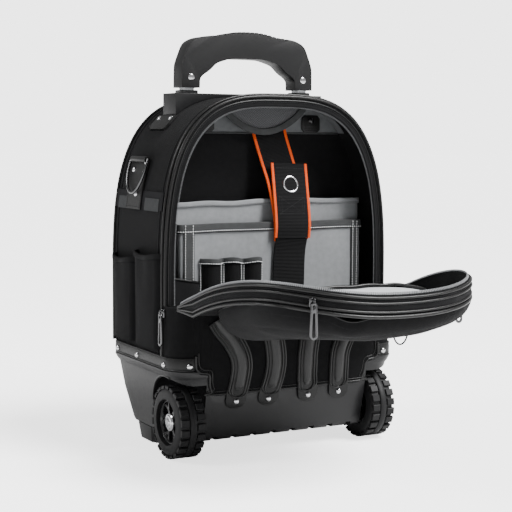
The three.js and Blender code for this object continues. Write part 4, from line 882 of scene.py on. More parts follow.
def door_depth(s):
    t = np.clip(s / (DOOR_DEEPENS * DOOR_LENGTH), 0, 1)
    return DOOR_HINGE_DEPTH + (DOOR_DEPTH - DOOR_HINGE_DEPTH) * t


def door_edge(inset=0.0, count=261):
    """The door's outline as x and distance from its hinge, from the right hinge end round to the left."""
    a = np.linspace(0, math.pi, 720)
    x = np.sign(np.cos(a)) * np.abs(np.cos(a)) ** (2 / ARCH_POWER) * (DOOR_HALF_WIDTH - inset)
    s = np.abs(np.sin(a)) ** (2 / ARCH_POWER) * (DOOR_LENGTH - inset)
    return resample(np.column_stack([x, s]), count)


# The base
def well_shapes(side):
    y, z = AXLE_Y - WELL_FORWARD, WHEEL_RADIUS + WELL_FORWARD
    ends = sorted((side * WELL_INNER, side * (BASE_HALF_WIDTH + 8)))
    return [disc_shape(*ends, y, z, WELL_RADIUS), box_shape(*ends, y - WELL_RADIUS, y + WELL_RADIUS, -20, z)]


PANEL_EDGE = [(134.0, PANEL_LOW), (142.5, 109.5), (147.0, 121.0), (148.5, 136.0), (153.0, 141.5),
              (165.0, 143.4),
              (171.5, 149.0), (173.4, 158.0), (173.4, BAND_TOP)]


def cut_rectangle(x0, x1, y0, y1, cut):
    """A rectangle's outline with its corners cut off."""
    return np.array([(x1 - cut, y0), (x1, y0 + cut), (x1, y1 - cut), (x1 - cut, y1),
                     (x0 + cut, y1), (x0, y1 - cut), (x0, y0 + cut), (x0 + cut, y0)])


def build_base():
    outer = [(27, 7), (27.5, 4), (29, 1.8), (32, 0.5), (36, 0), (52, 0), (70, 0), (90, 0), (110, 0), (125, 0),
             (134, 0), (136, -0.6), (138, -1.5), (140, -1.8), (146.2, -1.8), (148.2, -1.2), (149, 0.2),
             (149.01, 2.7), (160, 2.7), (BAND_TOP, 2.7)]
    inner = [(BAND_TOP, 6.2), (149, 6.2), (136, 3.5), (110, 3.5), (80, 3.5), (50, 3.5), (36, 3.5), (31.5, 5),
             (30.5, 9)]
    points, faces = stack_rings([plan_ring(z, inset) for z, inset in outer + inner])
    base = make("base", points, faces, BASE_PLASTIC, stands_for="base_shell")
    notch = np.array(PANEL_EDGE) + (GAP, -GAP)
    outline = np.vstack([notch, (174, 190), (-174, 190), (notch * (-1, 1))[::-1]])
    cutters = [*well_shapes(1), *well_shapes(-1),
               shape_only("cut", *prism(outline, -160, -132, 1)),
               disc_shape(-204, 204, AXLE_Y, WHEEL_RADIUS, AXLE_BORE, 32)]
    for k in range(8):
        x = (k - 3.5) * 37.0
        cutters.append(box_shape(x - 5, x + 5, -135, -110, 20, 33.5))
    carve(base, cutters)
    feet = []
    for side in (-1, 1):
        rings = []
        for z, grow in ((0, -6.5), (1.2, -4.2), (4, -3.4), (29, 0)):
            x0, x1 = sorted((side * (148 - grow), side * (182 + grow)))
            outline = cut_rectangle(x0, x1, 6 - grow, 68 + grow, 5)
            rings.append(points_of(outline[:, 0], outline[:, 1], z))
        feet.append(shape_only("foot", *stack_rings(rings)))
    carve(base, feet, "UNION")
    soften(base, 0.9)


build_base()

# Fender lips round the wheel wells, on the flank
for side, name in SIDES:
    a = np.linspace(math.radians(-14), math.radians(196), 90)
    reach = WELL_RADIUS + 1.6
    lip = points_of(0.0, AXLE_Y - WELL_FORWARD - reach * np.cos(a),
                    WHEEL_RADIUS + WELL_FORWARD + reach * np.sin(a))
    lip = lip[lip[:, 1] > -122]
    lip[:, 0] = side * (base_row(lip[:, 2])[0] + 0.2)
    sweep(f"well_lip_{name}", lip, round_section(2.0, 10), BASE_PLASTIC, out=(side, 0, 0))


def band_line(z, inset):
    """The band's path: from the notch's right end round the back to its left end."""
    ring = plan_ring(z, inset, at=BASE_RIM)
    start = np.argmin(np.abs(ring[:, 0]) + 1000 * (ring[:, 1] > BASE_FRONT + 8))
    ring = resample(np.roll(ring, -start, axis=0), 700, closed=True)
    keep = (ring[:, 1] > BASE_FRONT + inset + 0.5) | (np.abs(ring[:, 0]) > 174.2)
    first = np.argmax(keep)
    return resample(ring[first:first + int(keep.sum())], 420)


BAND_SECTION = np.array([(-10.2, 0), (-10.4, 1.2), (-9.9, 2.2), (-8.6, 2.5), (-7.4, 1.9), (-6.2, 2.3),
                         (0, 2.7),
                         (6.2, 2.3), (7.4, 1.9), (8.6, 2.6), (9.9, 2.3), (10.4, 1.2), (10.2, 0)])
middle = band_line(BAND_MIDDLE, 2.4)
band_out = unit(np.cross(tangents(middle), (0, 0, 1)))
sweep("rim_band_trim", middle, BAND_SECTION, TRIM, out=band_out, stands_for="rim_band")
stitching("rim_band_stitches", [(middle + band_out * 2.1 + (0, 0, dz), band_out) for dz in (-7.4, 7.4)])
band_spots = []
for side in (-1, 1):
    for y in (79, -4, -112):
        band_spots.append(((side * (BASE_HALF_WIDTH + 0.1), y, 157.5), (side, 0, 0)))
    band_spots.append(((side * 184, -147.6, 157.5), (side * 0.15, -1, 0)))
rivets("rim_band_rivets", band_spots)


# The shell, its seams and the zipped rim
def build_shell():
    count, depth = 261, 53
    foot = arch_line(0.0, 0.0, count=count)
    out = arch_out(count)
    y = np.linspace(BAG_FRONT, BAG_BACK, depth)
    reach = lengths_along(foot)
    r, yy = np.meshgrid(reach, y, indexing="ij")
    between = np.minimum(np.abs(yy - FRONT_SEAM_Y), np.abs(yy - BACK_SEAM_Y))
    free = np.clip(between / 26, 0, 1)
    flank = np.clip(np.minimum(r, reach[-1] - r) / 90, 0, 1)
    puff = 0.45 * free + 0.55 * ripple(r, yy * 0.45, 11, 46) * free * flank
    seam = -0.9 * sum(np.exp(-((yy - y_seam) / 1.6) ** 2) for y_seam in (FRONT_SEAM_Y, BACK_SEAM_Y))
    surface = foot[:, None, :] + out[:, None, :] * (puff + seam)[..., None]
    surface[..., 1] = yy
    shell = cloth_sheet("shell_cloth", surface, WALL, NYLON, normal=out[:, None],
                        stands_for="bag_shell")
    carve(shell, [box_shape(s * HANDLE_X - 14, s * HANDLE_X + 14, HANDLE_Y - 14, HANDLE_Y + 14, 500, 620)
                  for s in (-1, 1)])


build_shell()
ARCH_OUT = arch_out()

for name, y, inset, radius in (("shell_piping_back", 101.0, -1.6, 2.3),
                               ("shell_piping_front", -101.5, -1.8, 2.2)):
    sweep(name, arch_line(inset, y), round_section(radius, 10), PIPING, out=ARCH_OUT)
for name, y, radius in (("shell_seam_back", BACK_SEAM_Y, 1.1), ("shell_seam_front", FRONT_SEAM_Y, 1.3)):
    sweep(name, arch_line(-0.2, y), round_section(radius, 8), NYLON_SOFT, out=ARCH_OUT)
stitching("shell_seam_stitches", [(arch_line(-0.1, seam + dy), ARCH_OUT)
                                  for seam in (BACK_SEAM_Y, FRONT_SEAM_Y) for dy in (-3.5, 3.5)])

RIM_FACE = BAG_FRONT - GAP


def rim_line(inset, y, low=PANEL_TOP + GAP, count=261):
    return arch_line(inset, y, low, count)


# The rim: a sewn flange with a ridge beside its outer piping and a zip tape along its inner edge
RIM_SECTION = np.array([(9, 0), (9.3, 2.4), (8.4, 4.6), (6.6, 5.0), (5.0, 4.2), (3.4, 4.0), (0, 4.3),
                        (-2.6, 3.7),
                        (-3.4, 2.9), (-8.6, 2.3), (-9.2, 1.2), (-9.0, 0)])
sweep("front_rim", rim_line(9.0, RIM_FACE), RIM_SECTION, NYLON_SOFT, out=FRONT, stands_for="front_zip_rim")
sweep("front_rim_piping", rim_line(1.4, RIM_FACE - 4.6), round_section(2.4, 12), PIPING, out=FRONT)
sweep("front_rim_piping_inner", rim_line(7.6, RIM_FACE - 4.2), round_section(1.2, 8), PIPING, out=FRONT)
stitching("front_rim_stitches", [(rim_line(10.6, RIM_FACE - 4.15), FRONT),
                                 (rim_line(4.8, RIM_FACE - 4.7), FRONT)], pitch=3.4)
teeth = resample(rim_line(18.4, RIM_FACE - 2.0), pitch=2.15)
repeats("front_rim_teeth", teeth, tangents(teeth), FRONT, TOOTH, TEETH)


# The front panel and its ribs
def panel_low(x):
    """Height of the panel's lower edge at a distance across."""
    table = np.array([(0.0, PANEL_LOW)] + PANEL_EDGE[:-1] + [(173.5, BAND_TOP + GAP),
                                                             (400.0, BAND_TOP + GAP)])
    return np.interp(np.abs(x), table[:, 0], table[:, 1])


def build_front_panel():
    radius, half = 31.3, BASE_HALF_WIDTH - 2.7
    straight = half - radius
    edge = [x for x, _ in PANEL_EDGE]
    xs = np.unique(np.concatenate([np.linspace(0, edge[0], 36), np.linspace(edge[0], edge[-1], 40), edge,
                                   np.linspace(edge[-1], straight, 4)]))
    xs = np.concatenate([-xs[::-1], xs[1:]])
    arc = np.linspace(0, math.pi / 2, 12)[1:]
    rows = np.linspace(0, 1, 44) ** 0.9
    columns = []

    def column(x, low, y=None, set_back=0.0):
        z = low + (PANEL_TOP - low) * rows
        columns.append(points_of(x, panel_y(x, z) + set_back if y is None else y, z))

    turns = [(straight + radius * math.sin(a), BASE_FRONT + 2.7 + radius * (1 - math.cos(a))) for a in arc]
    turns.append((half, BAG_FRONT - GAP))
    for x, y in reversed(turns):
        column(-x, BAND_TOP + GAP, y)
    for x in xs:
        column(x, float(panel_low(x)), set_back=2.7 * np.clip((abs(x) - 160) / 19, 0, 1))
    for x, y in turns:
        column(x, BAND_TOP + GAP, y)
    surface = np.array(columns)
    x, z = surface[..., 0], surface[..., 2]
    soft = ripple(x, z * 0.8, 21, 60) * np.clip((PANEL_TOP - z) / 30, 0, 1) * np.clip((z - 112) / 20, 0, 1)
    surface[..., 1] -= np.clip(soft, -0.5, 0.5) * (np.abs(x) < 165)
    cloth_sheet("front_panel_cloth", surface, WALL, NYLON, stands_for="front_panel")


build_front_panel()


def panel_spot(x, z, lift):
    return np.column_stack([x, panel_y(x, z) - lift, z])


edge_flat = smooth_line([(-x, z + 2.5) for x, z in reversed(PANEL_EDGE)]
                        + [(x, z + 2.5) for x, z in PANEL_EDGE], 260)
for name, grow, radius in (("panel_edge_piping", 0.0, 1.9), ("panel_edge_fold", 5.2, 0.9)):
    shrink = 1 - grow / 170
    line = panel_spot(edge_flat[:, 0] * shrink, edge_flat[:, 1] + grow * 0.9, 0.4)
    sweep(name, line, round_section(radius, 10), PIPING, out=FRONT)
stitching("panel_edge_stitches", [(panel_spot(edge_flat[:, 0] * 0.985, edge_flat[:, 1] + 2.6, 0.5), FRONT)])

OUTER_RIB = [(0.467, 0.32), (0.467, 0.358), (0.462, 0.42), (0.448, 0.51), (0.443, 0.62), (0.468, 0.7),
             (0.53, 0.79),
             (0.6, 0.86), (0.645, 0.92)]
INNER_RIB = [(0.185, 0.32), (0.182, 0.358), (0.172, 0.42), (0.15, 0.51), (0.142, 0.62), (0.15, 0.7),
             (0.17, 0.79),
             (0.2, 0.86), (0.222, 0.92)]


def build_rib(table, side, name):
    """One rib with its pad and pipings; gives its rows of stitches and its rivet's place."""
    flat = smooth_line([(side * a * BAG_HALF_WIDTH, u * PANEL_TOP) for a, u in table], 90)
    reach = lengths_along(flat)
    t = tangents(flat)
    normal = np.column_stack([t[:, 1], -t[:, 0]])

    def spot(offset, lift):
        p = flat + normal * offset
        return panel_spot(p[:, 0], p[:, 1], lift)

    rounded = np.sqrt(np.clip(1 - (1 - np.clip(reach / 15, 0, 1)) ** 2, 0.02, 1))
    sweep(f"rib_{name}", spot(0, 0.7), slab(38, 2.6), TRIM, out=FRONT,
          scale=np.column_stack([rounded, np.ones(90)]), stands_for=f"skid_rib_{name}")
    start = int(np.argmax(reach > 30))
    ends = np.clip(np.minimum(reach - reach[start] + 2, reach[-1] - reach + 6) / 9, 0.05, 1)[start:]
    dome = np.array([(8.6 * math.cos(a), 5.4 * math.sin(a)) for a in np.linspace(0, math.pi, 15)])
    sweep(f"rib_{name}_pad", spot(0, 2.6)[start:], dome, RIB_FACE, out=FRONT,
          scale=np.column_stack([0.75 + 0.25 * ends, np.sqrt(ends)]))
    turn = np.linspace(math.pi, 2 * math.pi, 20)[1:-1, None]
    for part, offset in (("inner", 12.2), ("outer", 16.9)):
        bend = flat[start] + normal[start] * offset * np.cos(turn) + t[start] * min(offset, 11) * np.sin(turn)
        line = np.vstack([spot(-offset, 3.4)[start:][::-1], panel_spot(bend[:, 0], bend[:, 1], 3.4),
                          spot(offset, 3.4)[start:]])
        sweep(f"rib_{name}_piping_{part}", resample(line, 200), round_section(1.7, 8), PIPING, out=FRONT)
    rows = [(spot(offset, 3.35)[start:], FRONT) for offset in (14.5, -14.5)]
    return rows, spot(0, 3.3)[int(np.argmax(reach > 12))]


rib_rows, rib_spots = [], []
for table, side, name in ((OUTER_RIB, -1, "outer_left"), (INNER_RIB, -1, "inner_left"),
                          (INNER_RIB, 1, "inner_right"), (OUTER_RIB, 1, "outer_right")):
    rows, spot = build_rib(table, side, name)
    rib_rows += rows
    rib_spots.append((spot, (0, -1, -0.05)))
stitching("rib_stitches", rib_rows, pitch=3.2)
rivets("rib_rivets", rib_spots)


# The door
EDGE = door_edge()
EDGE_TOP = door_point(EDGE[:, 0], EDGE[:, 1], 0.0)
EDGE_OUT = unit(np.cross((0, 0, 1), tangents(EDGE_TOP)) * (1, 1, 0))
EDGE_DEPTH = door_depth(EDGE[:, 1])


def door_run(share, out_by):
    """A line round the gusset at a share of its depth, pushed out."""
    drop = share * (EDGE_DEPTH + WALL)
    return door_point(EDGE[:, 0], EDGE[:, 1], drop) + EDGE_OUT * out_by


TOP_SHARE = 0.16


def build_gusset():
    rows = 22
    v = np.linspace(TOP_SHARE, 1, rows)
    drop = v[None, :] * (EDGE_DEPTH + WALL)[:, None]
    surface = door_point(EDGE[:, :1], EDGE[:, 1:], drop)
    reach = lengths_along(EDGE_TOP)
    r, vv = np.meshgrid(reach, v, indexing="ij")
    deep = np.clip((EDGE_DEPTH[:, None] - 8) / 22, 0, 1)
    push = deep * (1.1 * np.sin(math.pi * np.clip((vv - 0.4) / 0.42, 0, 1)) + 1.0 * ripple(r, vv * 30, 31, 55)
                   * np.sin(math.pi * vv))
    surface = surface + EDGE_OUT[:, None] * np.clip(push, -0.8, 2.4)[..., None]
    cloth_sheet("door_gusset_cloth", surface, WALL, NYLON_SOFT, normal=EDGE_OUT[:, None],
                stands_for="door_gusset")


build_gusset()
# The gusset's pipings use the lighter piping, a painted highlight.
for name, share, out_by, radius in (("top", TOP_SHARE + 0.02, 0.2, 2.4), ("upper", 0.42, 1.0, 2.0),
                                    ("lower", 0.8, 0.8, 2.0), ("bottom", 1.0, 0.4, 2.8)):
    sweep(f"door_piping_{name}", door_run(share, out_by), round_section(radius, 10), PIPING_HIGHLIT,
          out=EDGE_OUT)
stitching("door_gusset_stitches", [(door_run(0.3, 0.3), EDGE_OUT), (door_run(0.5, 1.1), EDGE_OUT)], pitch=3.6)
tape_low, tape_high = door_edge(0.6), door_edge(5.0)
tape_grid = np.stack([door_point(tape_low[:, 0] * (1 - t) + tape_high[:, 0] * t,
                                 tape_low[:, 1] * (1 - t) + tape_high[:, 1] * t,
                                 1.6 - 5.4 * t ** 0.8 + TOP_SHARE * EDGE_DEPTH)
                      for t in np.linspace(0, 1, 7)], axis=1)
cloth_sheet("door_zip_tape", tape_grid, 1.1, NYLON_SOFT, normal=unit(EDGE_OUT * 0.6 + (0, 0, 0.8))[:, None])
tooth_edge = door_edge(5.0, 300)
tooth_drop = TOP_SHARE * door_depth(tooth_edge[:, 1]) - 3.9
tooth_line = resample(door_point(tooth_edge[:, 0], tooth_edge[:, 1], tooth_drop), pitch=3.0)
tooth_out = unit(np.cross((0, 0, 1), tangents(tooth_line)) * (1, 1, 0))
# The door's teeth use the lighter teeth, a painted highlight.
repeats("door_teeth", tooth_line, tangents(tooth_line), unit(tooth_out + (0, 0, 0.5)), DOOR_TOOTH, TEETH_HIGHLIT)


def door_grid(inset, drop, columns=61, rows=70, rough=0.0, seed=0):
    t = np.linspace(0, 1, rows)
    share = 1 - (1 - t) ** 1.8 * 0.9999 - 0.0001
    s = share * (DOOR_LENGTH - inset)
    half = (DOOR_HALF_WIDTH - inset) * (1 - np.clip(share, 0, 0.9998) ** ARCH_POWER) ** (1 / ARCH_POWER)
    across = np.linspace(-1, 1, columns)
    x = across[:, None] * half[None, :]
    ss = np.broadcast_to(s, x.shape)
    lift = rough * ripple(x, ss, seed, 75) * (1 - across[:, None] ** 4)
    return door_point(x, ss, drop(ss) - lift)


cloth_sheet("door_liner_cloth", door_grid(3.4, lambda s: door_depth(s) - 2.3, rough=0.35, seed=41), 1.7, PALE,
            normal=UP, stands_for="door_liner")
cloth_sheet("door_panel_cloth", door_grid(3.2, lambda s: door_depth(s) + 0.2), 2.6, NYLON, normal=UP,
            stands_for="door_panel")
bound = door_edge(5.4)
sweep("door_liner_binding", door_point(bound[:, 0], bound[:, 1], door_depth(bound[:, 1]) - 3.6),
      round_section(2.4, 8), PIPING)


def door_pocket(name, first, last, half, rise, mouth_at_start, material, node, bow):
    """A raised sheet on the liner; its mouth bows towards the middle of the door."""
    columns, rows = 61, 34
    across = np.linspace(-1, 1, columns)[:, None]
    j = np.linspace(0, 1, rows)[None, :]
    to_mouth = 1 - j if mouth_at_start else j
    bend = bow * (1 - across ** 2) * to_mouth
    s = (first + (last - first) * j) * (DOOR_LENGTH - 3.3) + (bend if mouth_at_start else -bend)
    narrow = 1 - 0.16 * (1 - to_mouth) ** 2
    height = rise * np.sin(math.pi / 2 * np.clip(0.12 + to_mouth, 0, 1)) * (1 - across ** 4)
    height = height + 0.06 * rise * ripple(across * half, s, 51, 48) * to_mouth * (1 - across ** 4)
    surface = door_point(across * half * narrow, s, door_depth(s) - 3.0 - height - 2.0)
    cloth_sheet(name, surface, 1.6, material, stands_for=node)
    mouth = surface[:, 0 if mouth_at_start else -1]
    sweep(name + "_mouth_binding", mouth + (0, 0, 0.2), round_section(2.6, 10), PIPING)
    seam = surface[:, -1 if mouth_at_start else 0]
    for k, line in enumerate((surface[0], surface[-1], seam)):
        sweep(f"{name}_side_binding_{k}", line, round_section(1.7, 8), PIPING)
    return surface


door_pocket("door_pocket_rear_mesh", 0.084, 0.42, 172, 18, False, MESH_BLACK, "door_pocket_rear", 0.0)
front_pocket = door_pocket("door_pocket_front_cloth", 0.48, 0.81, 120, 12, True, PALE, "door_pocket_front",
                           14.0)
stitching("door_pocket_stitches", [(front_pocket[:, 4] + (0, 0, 0.1), UP)], material=THREAD_LIGHT)

# The outer pocket under the door
POCKET_START, POCKET_END = 0.084, 0.93
POCKET_CENTRE = (POCKET_START + POCKET_END) / 2 * DOOR_LENGTH
POCKET_HALF_LENGTH = (POCKET_END - POCKET_START) / 2 * DOOR_LENGTH
POCKET_HALF_WIDTH = 0.912 * DOOR_HALF_WIDTH
MOUTH_GAPE, MOUTH_TURN, MOUTH_SPAN = 12.0, 1.82, 0.17


def outer_pocket_point(turn, reach, grow=0.0):
    power = 2 / ARCH_POWER
    c = np.sign(np.cos(turn)) * np.abs(np.cos(turn)) ** power
    d = np.sign(np.sin(turn)) * np.abs(np.sin(turn)) ** power
    x = c * reach * (POCKET_HALF_WIDTH + grow)
    s = POCKET_CENTRE + d * reach * (POCKET_HALF_LENGTH + grow)
    bulge = 46 * np.sqrt(np.clip(1 - reach ** 6, 0, 1))
    fold = 2.4 * ripple(x * 0.7, s, 61, 80) * np.clip((1 - reach) * 6, 0, 1)
    crease = -1.6 * np.exp(-((reach - 0.9) / 0.018) ** 2) * (0.4 + 0.6 * np.clip(ripple(x, s, 62, 120), 0, 1))
    gape = MOUTH_GAPE * np.exp(-((turn - MOUTH_TURN) / MOUTH_SPAN) ** 2) * np.clip((reach - 0.86) / 0.14, 0,
                                                                                   1)
    return door_point(x, s, door_depth(s) + WALL + 1.0 + bulge + fold * (bulge > 12) + crease + gape)


def build_outer_pocket():
    turn = full_turn(180)[:, None]
    reach = 1 - (1 - np.linspace(0.004, 1, 46)[None, :]) ** 2.0
    surface = outer_pocket_point(turn, reach)
    cloth_sheet("outer_pocket_cloth", surface, 2.4, NYLON_SOFT, around=True, stands_for="door_outer_pocket")
    rim_turn = full_turn(260)
    rim = outer_pocket_point(rim_turn, np.full(260, 1.0), 0.6)
    rim[:, 2] += 0.4
    rim = resample(rim, 260, closed=True)
    out = unit(np.cross(tangents(rim, True), UP) * (1, 1, 0)) * -1
    sweep("outer_pocket_piping", rim, round_section(2.0, 10), PIPING, out=out, closed=True)
    for name, share, radius in (("outer_pocket_zip_fold", 0.985, 1.5), ("outer_pocket_seam", 0.93, 1.3)):
        line = resample(outer_pocket_point(rim_turn, np.full(260, share), 1.0), 260, closed=True)
        sweep(name, line, round_section(radius, 8), PIPING, out=out, closed=True)
    teeth = resample(outer_pocket_point(rim_turn, np.full(260, 0.992), 0.6), pitch=2.3)
    facing = unit(np.cross(tangents(teeth), UP) * (1, 1, 0))
    facing = facing * np.sign(np.sum(facing * (teeth - teeth.mean(axis=0)), axis=1))[:, None]
    repeats("outer_pocket_teeth", teeth, tangents(teeth), facing, TOOTH, TEETH_DARK)


build_outer_pocket()


# Inside the bag
def arch_region(name, low, high, y_face, material, inset=3.4, columns=61, rows=44, **rest):
    """A flat cloth filling the arch between two heights, or up to its top."""
    share = np.linspace(0, 1, rows)
    if high is None:
        high, share = BAG_TOP - inset - 0.2, 1 - (1 - share) ** 2
    z = low + (high - low) * share
    half = np.where(z < BASE_RIM, base_row(np.minimum(z, BASE_RIM))[0] - 7.2, arch_x(z, inset))
    x = np.linspace(-1, 1, columns)[:, None] * half[None, :]
    zz = np.broadcast_to(z, x.shape)
    surface = points_of(x, y_face - 0.5 * ripple(x, zz, 71, 90), zz)
    cloth_sheet(name, surface, 2.6, material, normal=FRONT, **rest)


def build_top_lining():
    """The grey lining above the seam: behind, and round the arch."""
    arch_region("partition_top_lining", LINING_LOW, None, PARTITION_FRONT - 0.1, LINING)
    half = float(arch_x(LINING_LOW, 4.0))
    sweep("partition_seam", points_of(np.linspace(-half, half, 60), PARTITION_FRONT - 0.8, LINING_LOW),
          round_section(1.6, 8), BINDING_GREY, out=FRONT)
    arch = arch_part(WALL + 1.0, LINING_LOW, 120)
    depths = np.linspace(PARTITION_FRONT - 2, -52, 10)
    grid = np.stack([points_of(arch[:, 0], y, arch[:, 1]) for y in depths], axis=1)
    t = tangents(arch)
    cloth_sheet("side_lining_top", grid, 0.9, LINING, normal=points_of(-t[:, 1], 0.0, t[:, 0])[:, None])


arch_region("partition_cloth", 31.5, LINING_LOW, PARTITION_FRONT + 0.4, NYLON_SOFT, stands_for="partition",
            slot="grey_cloth")
build_top_lining()


def bent_path(points, radius, count):
    """A plan path with rounded corners."""
    p = np.asarray(points, float)
    line = [p[0]]
    for a, b, c in zip(p[:-2], p[1:-1], p[2:]):
        u, v = unit(a - b), unit(c - b)
        r = min(radius, np.linalg.norm(a - b) * 0.45, np.linalg.norm(c - b) * 0.45)
        for t in np.linspace(0, 1, 8):
            q0, q1, q2 = b + u * r, b, b + v * r
            line.append(q0 * (1 - t) ** 2 + 2 * q1 * t * (1 - t) + q2 * t ** 2)
    line.append(p[-1])
    return resample(np.array(line), count)


def open_pocket(name, path, bottom, top, thickness, material, node, sag, seed=81, wave=0.8,
                rows=24):
    """A sheet bent round a plan path, its top edge lowered by sag along the path."""
    n = len(path)
    t = tangents(path)
    out = np.column_stack([t[:, 1], -t[:, 0], np.zeros(n)])
    reach = lengths_along(path)
    top_line = top - sag
    v = np.linspace(0, 1, rows)
    z = bottom + (top_line[:, None] - bottom) * v[None, :]
    r, vv = np.meshgrid(reach, v, indexing="ij")
    ends = np.clip(np.minimum(r, reach[-1] - r) / 18, 0, 1)
    push = wave * ripple(r, z * 0.6, seed, 65) * ends * np.clip(vv * 4, 0, 1) - wave * 0.4 * ends
    surface = points_of(path[:, :1], path[:, 1:2], z) + out[:, None] * push[..., None]
    cloth_sheet(name, surface, thickness, material, normal=out[:, None], stands_for=node)
    return surface, out


def top_binding(name, surface, out, height, thick, material):
    """A folded tape over a pocket's top edge."""
    line = surface[:, -1] - (0, 0, height / 2 - 1.0) + out * (thick * 0.15)
    sweep(name, line, slab(height, thick + 2.4, lift=-thick * 0.5 - 1.2), material, out=out)


def binding_face(thick):
    """How far a binding's face stands off its pocket's wall."""
    return thick * 0.65 + 1.2


REAR = {"left": -176, "right": 190, "front": -60, "low": 200, "top": 418}
FRONT_POCKET = {"left": -168, "right": 182, "front": -76, "low": 190, "top": 380}
BACK_LINE = PARTITION_FRONT - 0.6

rear_path = bent_path([(REAR["left"], BACK_LINE), (REAR["left"], REAR["front"]),
                       (REAR["right"], REAR["front"]),
                       (REAR["right"], BACK_LINE)], 11, 240)
rear_reach = lengths_along(rear_path)
rear_sag = 2.5 * (ripple(rear_reach, 0 * rear_reach, 91, 110) + 1)
rear, rear_out = open_pocket("rear_sleeve_cloth", rear_path, REAR["low"], REAR["top"], 2.0, SLEEVE,
                             "rear_sleeve",
                             sag=rear_sag)
top_binding("rear_sleeve_binding", rear, rear_out, 9.0, 2.6, SLEEVE)
stitching("rear_sleeve_stitches", [(rear[:, -1] - (0, 0, 6.0) + rear_out * binding_face(2.6), rear_out)])

front_path = bent_path([(FRONT_POCKET["left"], REAR["front"] - 0.5),
                        (FRONT_POCKET["left"], FRONT_POCKET["front"]),
                        (FRONT_POCKET["right"], FRONT_POCKET["front"]),
                        (FRONT_POCKET["right"], REAR["front"] - 0.5)], 9, 240)
front_sag = 1.2 * (ripple(lengths_along(front_path), np.zeros(240), 92, 150) + 1)
front, front_out = open_pocket("front_sleeve_cloth", front_path, FRONT_POCKET["low"], FRONT_POCKET["top"],
                               2.0, SLEEVE,
                               "front_sleeve", sag=front_sag, seed=83)
top_binding("front_sleeve_binding", front, front_out, 15.0, 2.4, BINDING_GREY)
sleeve_rows = [(front[:, -1] - (0, 0, 11.0) + front_out * binding_face(2.4), front_out)]
for name, x, width in (("left", -152.0, 19.0), ("right", 168.0, 13.0)):
    z = np.linspace(FRONT_POCKET["low"] + 2, FRONT_POCKET["top"] - 4, 60)
    line = np.column_stack([np.full(60, x), np.full(60, FRONT_POCKET["front"] - 0.6), z])
    sweep(f"front_sleeve_edge_{name}", line, slab(width, 2.0), BINDING_GREY, out=FRONT)
    for dx in (-width / 2 + 2.5, width / 2 - 2.5):
        sleeve_rows.append((line + (dx, -2.1, 0), FRONT))
stitching("front_sleeve_stitches", sleeve_rows, material=THREAD_LIGHT, pitch=4.4)

# Pen pockets: three scallops on the front sleeve
PEN_FACE = FRONT_POCKET["front"] - 1.0
t = np.linspace(0, 3, 181)
scallop = np.maximum(np.abs(np.sin(math.pi * t)), np.where((t > 0.15) & (t < 2.85), 0.2, 0.0))
pen_path = np.column_stack([-131 + 113 * t / 3, PEN_FACE - 15 * scallop ** 0.8])
pen_path = resample(pen_path, 200)
pen_sag = 3.0 * np.clip(ripple(lengths_along(pen_path), np.zeros(200), 93, 60), -1, 1) + 1
pens, pens_out = open_pocket("pen_pocket_mesh", pen_path, 210, 322, 1.6, MESH_BLACK, "pen_pockets",
                             sag=pen_sag,
                             seed=85, wave=0.3)
top_binding("pen_pocket_binding", pens, pens_out, 10.0, 2.0, BINDING_GREY)
pen_rows = [(pens[:, -1] - (0, 0, 7.0) + pens_out * binding_face(2.0), pens_out)]
for k in range(4):
    x = -131 + 113 * k / 3 + (1.5 if k == 0 else -1.5 if k == 3 else 0)
    y = PEN_FACE - (0.6 if k in (0, 3) else 4.2)
    z = np.linspace(212, 316, 40)
    line = np.column_stack([np.full(40, x), np.full(40, y), z])
    sweep(f"pen_pocket_seam_{k}", line, slab(9.0 if 0 < k < 3 else 6.0, 1.6), BINDING_GREY, out=FRONT)
    pen_rows += [(line + (dx, -1.7, 0), FRONT) for dx in (-2.4, 2.4)]
stitching("pen_pocket_stitches", pen_rows, material=THREAD_LIGHT, pitch=4.2)

# The small pocket at the left wall
wall_path = bent_path([(-206.0, -96.5), (-190, -97), (-150, -91), (-137, -85), (-136, -77.2)], 8, 90)
wall_sag = np.linspace(0, 14, 90)
wall, wall_out = open_pocket("wall_pocket_cloth", wall_path, 205, 296, 1.8, NYLON_SOFT, "wall_pocket",
                             sag=wall_sag,
                             seed=87)
sweep("wall_pocket_binding", wall[:, -1] + wall_out * -0.8, round_section(2.3, 10), PIPING, out=wall_out)

# The half-moon mesh flap under the top
def build_flap():
    t = np.linspace(-1, 1, 91)
    x = 83.0 * t
    top = np.array([arch_z(abs(v), 3.4) for v in x]) - 1.0
    low = top[0] - 50.0 * np.abs(np.cos(t * math.pi / 2)) ** 0.7
    v = np.linspace(0, 1, 24)
    z = low[:, None] + (top - low)[:, None] * v[None, :]
    xx = np.broadcast_to(x[:, None], z.shape)
    bulge = 2.4 * np.sin(math.pi * v)[None, :] ** 0.7 * np.clip((top - low) / 40, 0, 1)[:, None]
    y = FLAP_Y - bulge
    surface = np.stack([xx, y, z], axis=-1)
    flap = cloth_sheet("top_flap_cloth", surface, 2.2, MESH_GREY, normal=FRONT, stands_for="top_flap",
                       held=None)
    lower = surface[:, 0] + (0, -0.8, 1.5)
    sweep("top_flap_binding", lower, slab(11.0, 4.6), BINDING_GREY, out=FRONT)
    upper = surface[:, -1] + (0, -0.8, -1.5)
    sweep("top_flap_seam", upper, slab(6.0, 3.2), BINDING_GREY, out=FRONT)
    stitching("top_flap_stitches", [(lower + (0, -2.4, 3.0), FRONT)])
    return flap


FLAP_Y = -48.0
build_flap()

